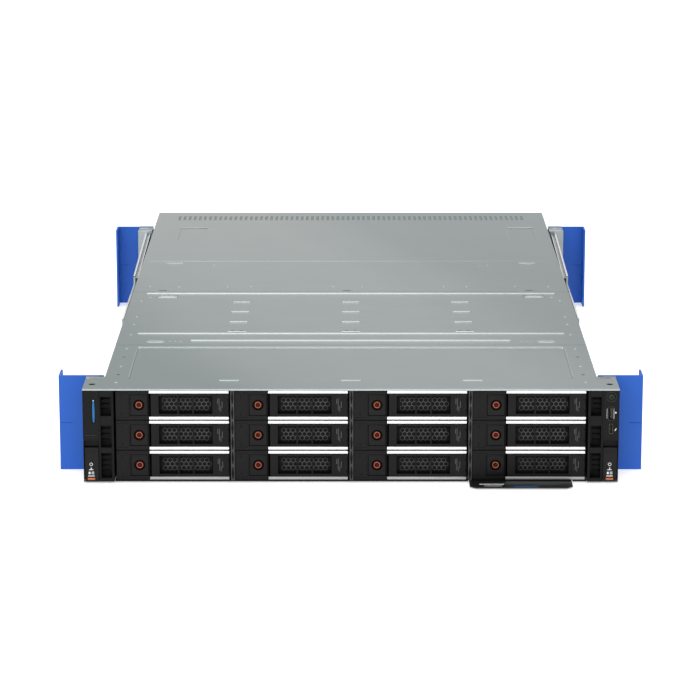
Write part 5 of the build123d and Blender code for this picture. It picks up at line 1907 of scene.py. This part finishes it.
    def jacks(self) -> None:
        """Contacts, lamps and rims of the two network jacks."""
        gold, lamps, rims = Shape(), Shape(), Shape()
        back = self.back
        for x in self.jack_places:
            rims.tube((x - 7.9, back, 8.4), (x + 7.9, back + 0.5, 21.6), 1.3, Along.Y, 0.15)
            for k in range(self.contacts):
                a = x - 4.4 + self.contact_pitch * k
                gold.box((a, back - 9.0, 18.2), (a + 0.5, back - 2.0, 18.7), 0.05)
            for dx in (-5.6, 5.6):
                lamps.dome((x + dx, 10.2), (2.4, 1.4), back + 0.1, 0.5, False, Along.Y)
        gold.lay("jack_contacts", Finishes.GOLD, "chassis")
        rims.lay("jack_rims", Finishes.SHELL, "chassis")
        lamps.lay("jack_lamps", Finishes.GREEN, "chassis")


@dataclass
class BoardDetails:
    """The main board with its heatsinks, memory and small parts, and the backplane's parts."""

    low: float = 6.2
    top: float = 8.2
    half: float = 205.0
    front: float = 292.0
    end: float = 622.0
    tail_half: float = 118.0
    tail_end: float = 826.0
    sink: Point = (84.0, 104.0, 56.0)
    sink_d: float = 430.0
    sink_x: float = 96.0
    fins: int = 25
    fin: float = 0.7
    modules: int = 4
    module_pitch: float = 8.0
    module_length: float = 133.0
    cans: int = 46
    small_chips: int = 70
    seed: int = 7
    banks: tuple[float, ...] = (-172.0, 14.0, 160.0)

    def build(self) -> None:
        """Lays the boards and what stands on them."""
        self.board()
        self.sinks()
        self.memory()
        self.parts()
        self.backplane()
        self.fans()

    def board(self) -> None:
        """The circuit board on its standoffs."""
        half, tail, end = self.half, self.tail_half, self.end
        outline = [
            (-half, self.front), (half, self.front), (half, end), (tail, end),
            (tail, self.tail_end), (-tail, self.tail_end), (-tail, end), (-half, end),
        ]
        shape = Shape().prism(outline, Along.Z, self.low, self.top, 0.2)
        for x in (-tail + 8, 0, tail - 8):
            for d in (self.front + 10, end - 10, self.tail_end - 10):
                shape.rod((x, d, (self.low + 1.25) / 2), 3.0, self.low - 1.25, Along.Z, 0.2, 6)
        shape.lay("main_board_sheet", Finishes.BOARD, "chassis", ["mainboard"])

    def sinks(self) -> None:
        """Two finned heatsinks with their screws."""
        metal, screws = Shape(), Shape()
        wide, deep, tall = self.sink
        near, far, base = self.sink_d, self.sink_d + deep, self.top + 7.0
        pitch = (wide - self.fin) / (self.fins - 1)
        for x in (-self.sink_x, self.sink_x):
            a, b = x - wide / 2, x + wide / 2
            metal.box((a, near, self.top + 1.0), (b, far, base), 0.5)
            for k in range(self.fins):
                left = a + k * pitch
                metal.box((left, near + 1.0, base), (left + self.fin, far - 1.0, self.top + tall))
            for dx in (-wide / 2 + 6.0, wide / 2 - 6.0):
                for d in (near + 7.0, far - 7.0):
                    screws.rod((x + dx, d, self.top + 29.0), 3.2, 57.0, Along.Z, 0.5, 16)
        metal.lay("heatsink_fins", Finishes.FINS, "chassis")
        screws.lay("heatsink_screws", Finishes.LOCK, "chassis")

    def memory(self) -> None:
        """Memory modules with their sockets, latches and chips."""
        sockets, modules, chips = Shape(), Shape(), Shape()
        start, top = self.sink_d - 14.0, self.top
        end = start + self.module_length
        for bank in self.banks:
            for k in range(self.modules):
                x = bank + (k - 1.5) * self.module_pitch
                sockets.box((x - 2.4, start - 2.0, top), (x + 2.4, end + 2.0, top + 5.0), 0.3)
                for d in (start - 4.0, end + 1.0):
                    sockets.box((x - 2.2, d, top), (x + 2.2, d + 3.0, top + 14.0), 0.5)
                modules.box((x - 0.6, start, top + 4.0), (x + 0.6, end, top + 31.0), 0.1)
                for j in range(9):
                    d = start + 5.0 + 14.0 * j
                    chips.box((x - 1.5, d, top + 12.0), (x + 1.5, d + 10.0, top + 26.0), 0.15)
        sockets.lay("memory_sockets", Finishes.CHIP, "chassis")
        modules.lay("memory_modules", Finishes.BOARD, "chassis")
        chips.lay("memory_chips", Finishes.EAR, "chassis")

    def parts(self) -> None:
        """Capacitors, chips and connectors scattered over the board's free area."""
        rng = random.Random(self.seed)
        cans, chips, sockets = Shape(), Shape(), Shape()
        for _ in range(self.cans):
            x = rng.uniform(-self.half + 12, self.half - 12)
            d = rng.uniform(self.front + 8, self.sink_d - 26)
            cans.rod((x, d, self.top + 4.0), 3.4, 8.0, Along.Z, 0.5, 16)
        for _ in range(self.small_chips):
            x = rng.uniform(-self.tail_half + 10, self.tail_half - 10)
            d = rng.uniform(self.end - 50, self.tail_end - 14)
            wide, deep = rng.choice(((3, 2), (6, 6), (10, 8), (14, 14)))
            low = (x - wide / 2, d - deep / 2, self.top)
            high = (x + wide / 2, d + deep / 2, self.top + 1.6)
            chips.box(low, high, 0.2)
        for k in range(3):
            x = -90.0 + 70.0 * k
            sockets.box((x, 640.0, self.top), (x + 7.0, 730.0, self.top + 3.4), 0.4)
        chips.box((-30.0, 560.0, self.top), (12.0, 602.0, self.top + 3.2), 0.5)
        cans.lay("board_capacitors", Finishes.LOCK, "chassis")
        chips.lay("board_chips", Finishes.CHIP, "chassis")
        sockets.lay("board_card_sockets", Finishes.PLASTIC_BLUE, "chassis")

    def backplane(self) -> None:
        """Chips and cable sockets on the back of the drive backplane."""
        chips, sockets = Shape(), Shape()
        for column in range(4):
            x = -214.0 + 107.0 * (column + 0.5)
            for row in range(3):
                h = 5.3 + 28.0 * row
                chips.box((x - 40.0, 188.0, h), (x - 32.0, 189.4, h + 8.0), 0.2)
                sockets.box((x - 20.0, 188.0, h), (x + 14.0, 194.0, h + 6.0), 0.4)
        chips.lay("backplane_chips", Finishes.CHIP, "chassis")
        sockets.lay("backplane_sockets", Finishes.PRINT, "chassis")

    def fans(self) -> None:
        """Finger guards, labels and hot-swap tabs of the three fans."""
        guards, tabs = Shape(), Shape()
        for k in (-1, 0, 1):
            x, h = 136.0 * k, 41.6
            for radius in (12.0, 20.0, 28.0, 35.5):
                guards.ring((x, 217.0, h), radius, 0.6, Along.Y, 40)
            guards.box((x - 37.0, 216.4, h - 0.6), (x + 37.0, 217.6, h + 0.6), 0.2)
            guards.box((x - 0.6, 216.4, h - 37.0), (x + 0.6, 217.6, h + 37.0), 0.2)
            tabs.box((x - 12.0, 222.0, 81.4), (x + 12.0, 246.0, 83.2), 0.6)
        guards.lay("fan_guards", Finishes.LOCK, "chassis")
        tabs.lay("fan_tabs", Finishes.ORANGE, "chassis")


@dataclass
class FloorDetails:
    """Stiffening ribs, screws and a blank plate on the underside of the tub."""

    def build(self) -> None:
        """Lays the details under the chassis floor."""
        ribs, screws = Shape(), Shape()
        for x in (-150.0, -50.0, 50.0, 150.0):
            for d in (330.0, 470.0, 610.0, 750.0):
                ribs.dome((x, d), (70.0, 12.0), 0.02, -0.6, True)
        for side in (-1, 1):
            for k in range(8):
                screws.dome((side * 206.0, 110.0 + 95.0 * k), (5.0, 5.0), 0.0, -0.8)
        ribs.lay("floor_ribs", Finishes.TUB, "chassis")
        screws.lay("floor_screws", Finishes.LOCK, "chassis")
        plate = Shape().box((-40.0, 180.0, -0.25), (40.0, 225.0, 0.05), 0.1)
        plate.lay("floor_blank_plate", Finishes.PRINT, "chassis")


@dataclass
class Studio:
    """Plain floor, soft light and the camera."""

    lens: float = 151.8
    sensor: float = 36.0
    pitch: float = 13.54
    away: float = 2563.2
    height: float = 740.0
    aside: float = -0.8

    def build(self) -> None:
        """Makes the floor, world, lights and camera."""
        self.floor()
        self.world()
        self.lights()
        self.camera()
        log.info("studio made")

    def floor(self) -> None:
        """A wide pale floor under the posts."""
        data = bpy.data.meshes.new("floor")
        reach = 40.0
        corners = [(-reach, -reach, 0), (reach, -reach, 0), (reach, reach, 0), (-reach, reach, 0)]
        data.from_pydata(corners, [], [(0, 1, 2, 3)])
        floor = bpy.data.objects.new("floor", data)
        bpy.context.scene.collection.objects.link(floor)
        paper = Finish(
            "pale_floor", "white_print", (0.92, 0.92, 0.92), 0.9, 0.0, 0.1,
            depth=0.0, mottle=0.01, glow=0.45,
        )
        data.materials.append(paper.material())

    def world(self) -> None:
        """A soft white surround, brightest near the horizon."""
        world = bpy.data.worlds.new("studio")
        world.use_nodes = True
        tree = world.node_tree
        back = tree.nodes["Background"]
        back.inputs["Strength"].default_value = 1.0
        place = tree.nodes.new("ShaderNodeTexCoord")
        split = tree.nodes.new("ShaderNodeSeparateXYZ")
        ramp = tree.nodes.new("ShaderNodeValToRGB")
        stops = ramp.color_ramp.elements
        stops[0].position, stops[0].color = 0.10, (0.46, 0.47, 0.47, 1.0)
        stops[1].position, stops[1].color = 0.62, (1.0, 1.0, 1.0, 1.0)
        low = stops.new(0.26)
        low.color = (0.36, 0.37, 0.37, 1.0)
        tree.links.new(place.outputs["Generated"], split.inputs["Vector"])
        tree.links.new(split.outputs["Z"], ramp.inputs["Fac"])
        tree.links.new(ramp.outputs["Color"], back.inputs["Color"])
        bpy.context.scene.world = world

    def lights(self) -> None:
        """A large overhead softbox and a fill from the camera's side."""
        plans = [
            ("overhead", (0.0, 0.2, 2.4), (0.0, 0.0, 0.0), 2.6, 30.0),
            ("front_fill", (-0.6, -2.8, 1.5), (0.0, 0.0, 0.05), 2.2, 26.0),
        ]
        for name, place, aim, size, watts in plans:
            lamp = bpy.data.lights.new(name, "AREA")
            lamp.energy = watts
            lamp.size = size
            made = bpy.data.objects.new(name, lamp)
            made.location = place
            toward = Vector(aim) - Vector(place)
            made.rotation_euler = toward.to_track_quat("-Z", "Y").to_euler()
            bpy.context.scene.collection.objects.link(made)

    def camera(self) -> None:
        """The camera, level across and looking down a little."""
        data = bpy.data.cameras.new("camera")
        data.lens = self.lens
        data.sensor_width = self.sensor
        data.clip_end = 200.0
        camera = bpy.data.objects.new("camera", data)
        camera.location = DATUM.matrix() @ Vector((self.aside, -self.away, self.height))
        camera.rotation_euler = (math.radians(90.0 - self.pitch), 0.0, 0.0)
        bpy.context.scene.collection.objects.link(camera)
        bpy.context.scene.camera = camera
        bpy.context.scene.view_settings.view_transform = "Standard"


def dress_nodes() -> None:
    """Gives every carried-over CAD node its finish."""
    plans = [
        ("rack_posts", Finishes.BLUE, 0.0004),
        ("outer_rails", Finishes.ZINC, 0.0003),
        ("middle_rails", Finishes.ZINC, 0.0003),
        ("inner_rails", Finishes.ZINC, 0.0003),
        ("chassis_base", Finishes.TUB, 0.0002),
        ("bay_dividers", Finishes.DARK, 0.0),
        ("front_cover", Finishes.COVER, 0.0004),
        ("middle_cover", Finishes.COVER, 0.0004),
        ("rear_cover", Finishes.COVER, 0.0003),
        ("cover_locks", Finishes.LOCK, 0.0002),
        ("control_panel_left", Finishes.EAR, 0.0004),
        ("control_panel_right", Finishes.EAR, 0.0004),
        ("rack_release_levers", Finishes.LEVER, 0.0004),
        ("power_button", Finishes.BUTTON, 0.0002),
        ("info_tag", Finishes.CARD, 0.0001),
        ("drive_backplane", Finishes.BOARD, 0.0),
        ("fan_housings", Finishes.FAN, 0.0003),
        ("fan_rotor_left", Finishes.FAN, 0.0003),
        ("fan_rotor_centre", Finishes.FAN, 0.0003),
        ("fan_rotor_right", Finishes.FAN, 0.0003),
        ("mainboard", Finishes.BOARD, 0.0),
        ("network_ports", Finishes.SHELL, 0.0),
        ("power_supply_left", Finishes.SUPPLY, 0.0003),
        ("power_supply_right", Finishes.SUPPLY, 0.0003),
    ]
    for node, finish, ease in plans:
        dress(node, finish, ease)
    log.info("%d carried-over parts dressed", len(plans))


def main() -> None:
    """Builds the server's looks in order."""
    logging.basicConfig(level=logging.INFO, format="%(name)s: %(message)s")
    Studio().build()
    dress_nodes()
    BayFronts().build()
    DividerTrims().build()
    groups = (
        CoverDetails, EarDetails, TagDetails, RackDetails, RearDetails, BoardDetails, FloorDetails,
    )
    for group in groups:
        group().build()
        log.info("%s built", group.__name__)


if __name__ == "__main__":
    main()
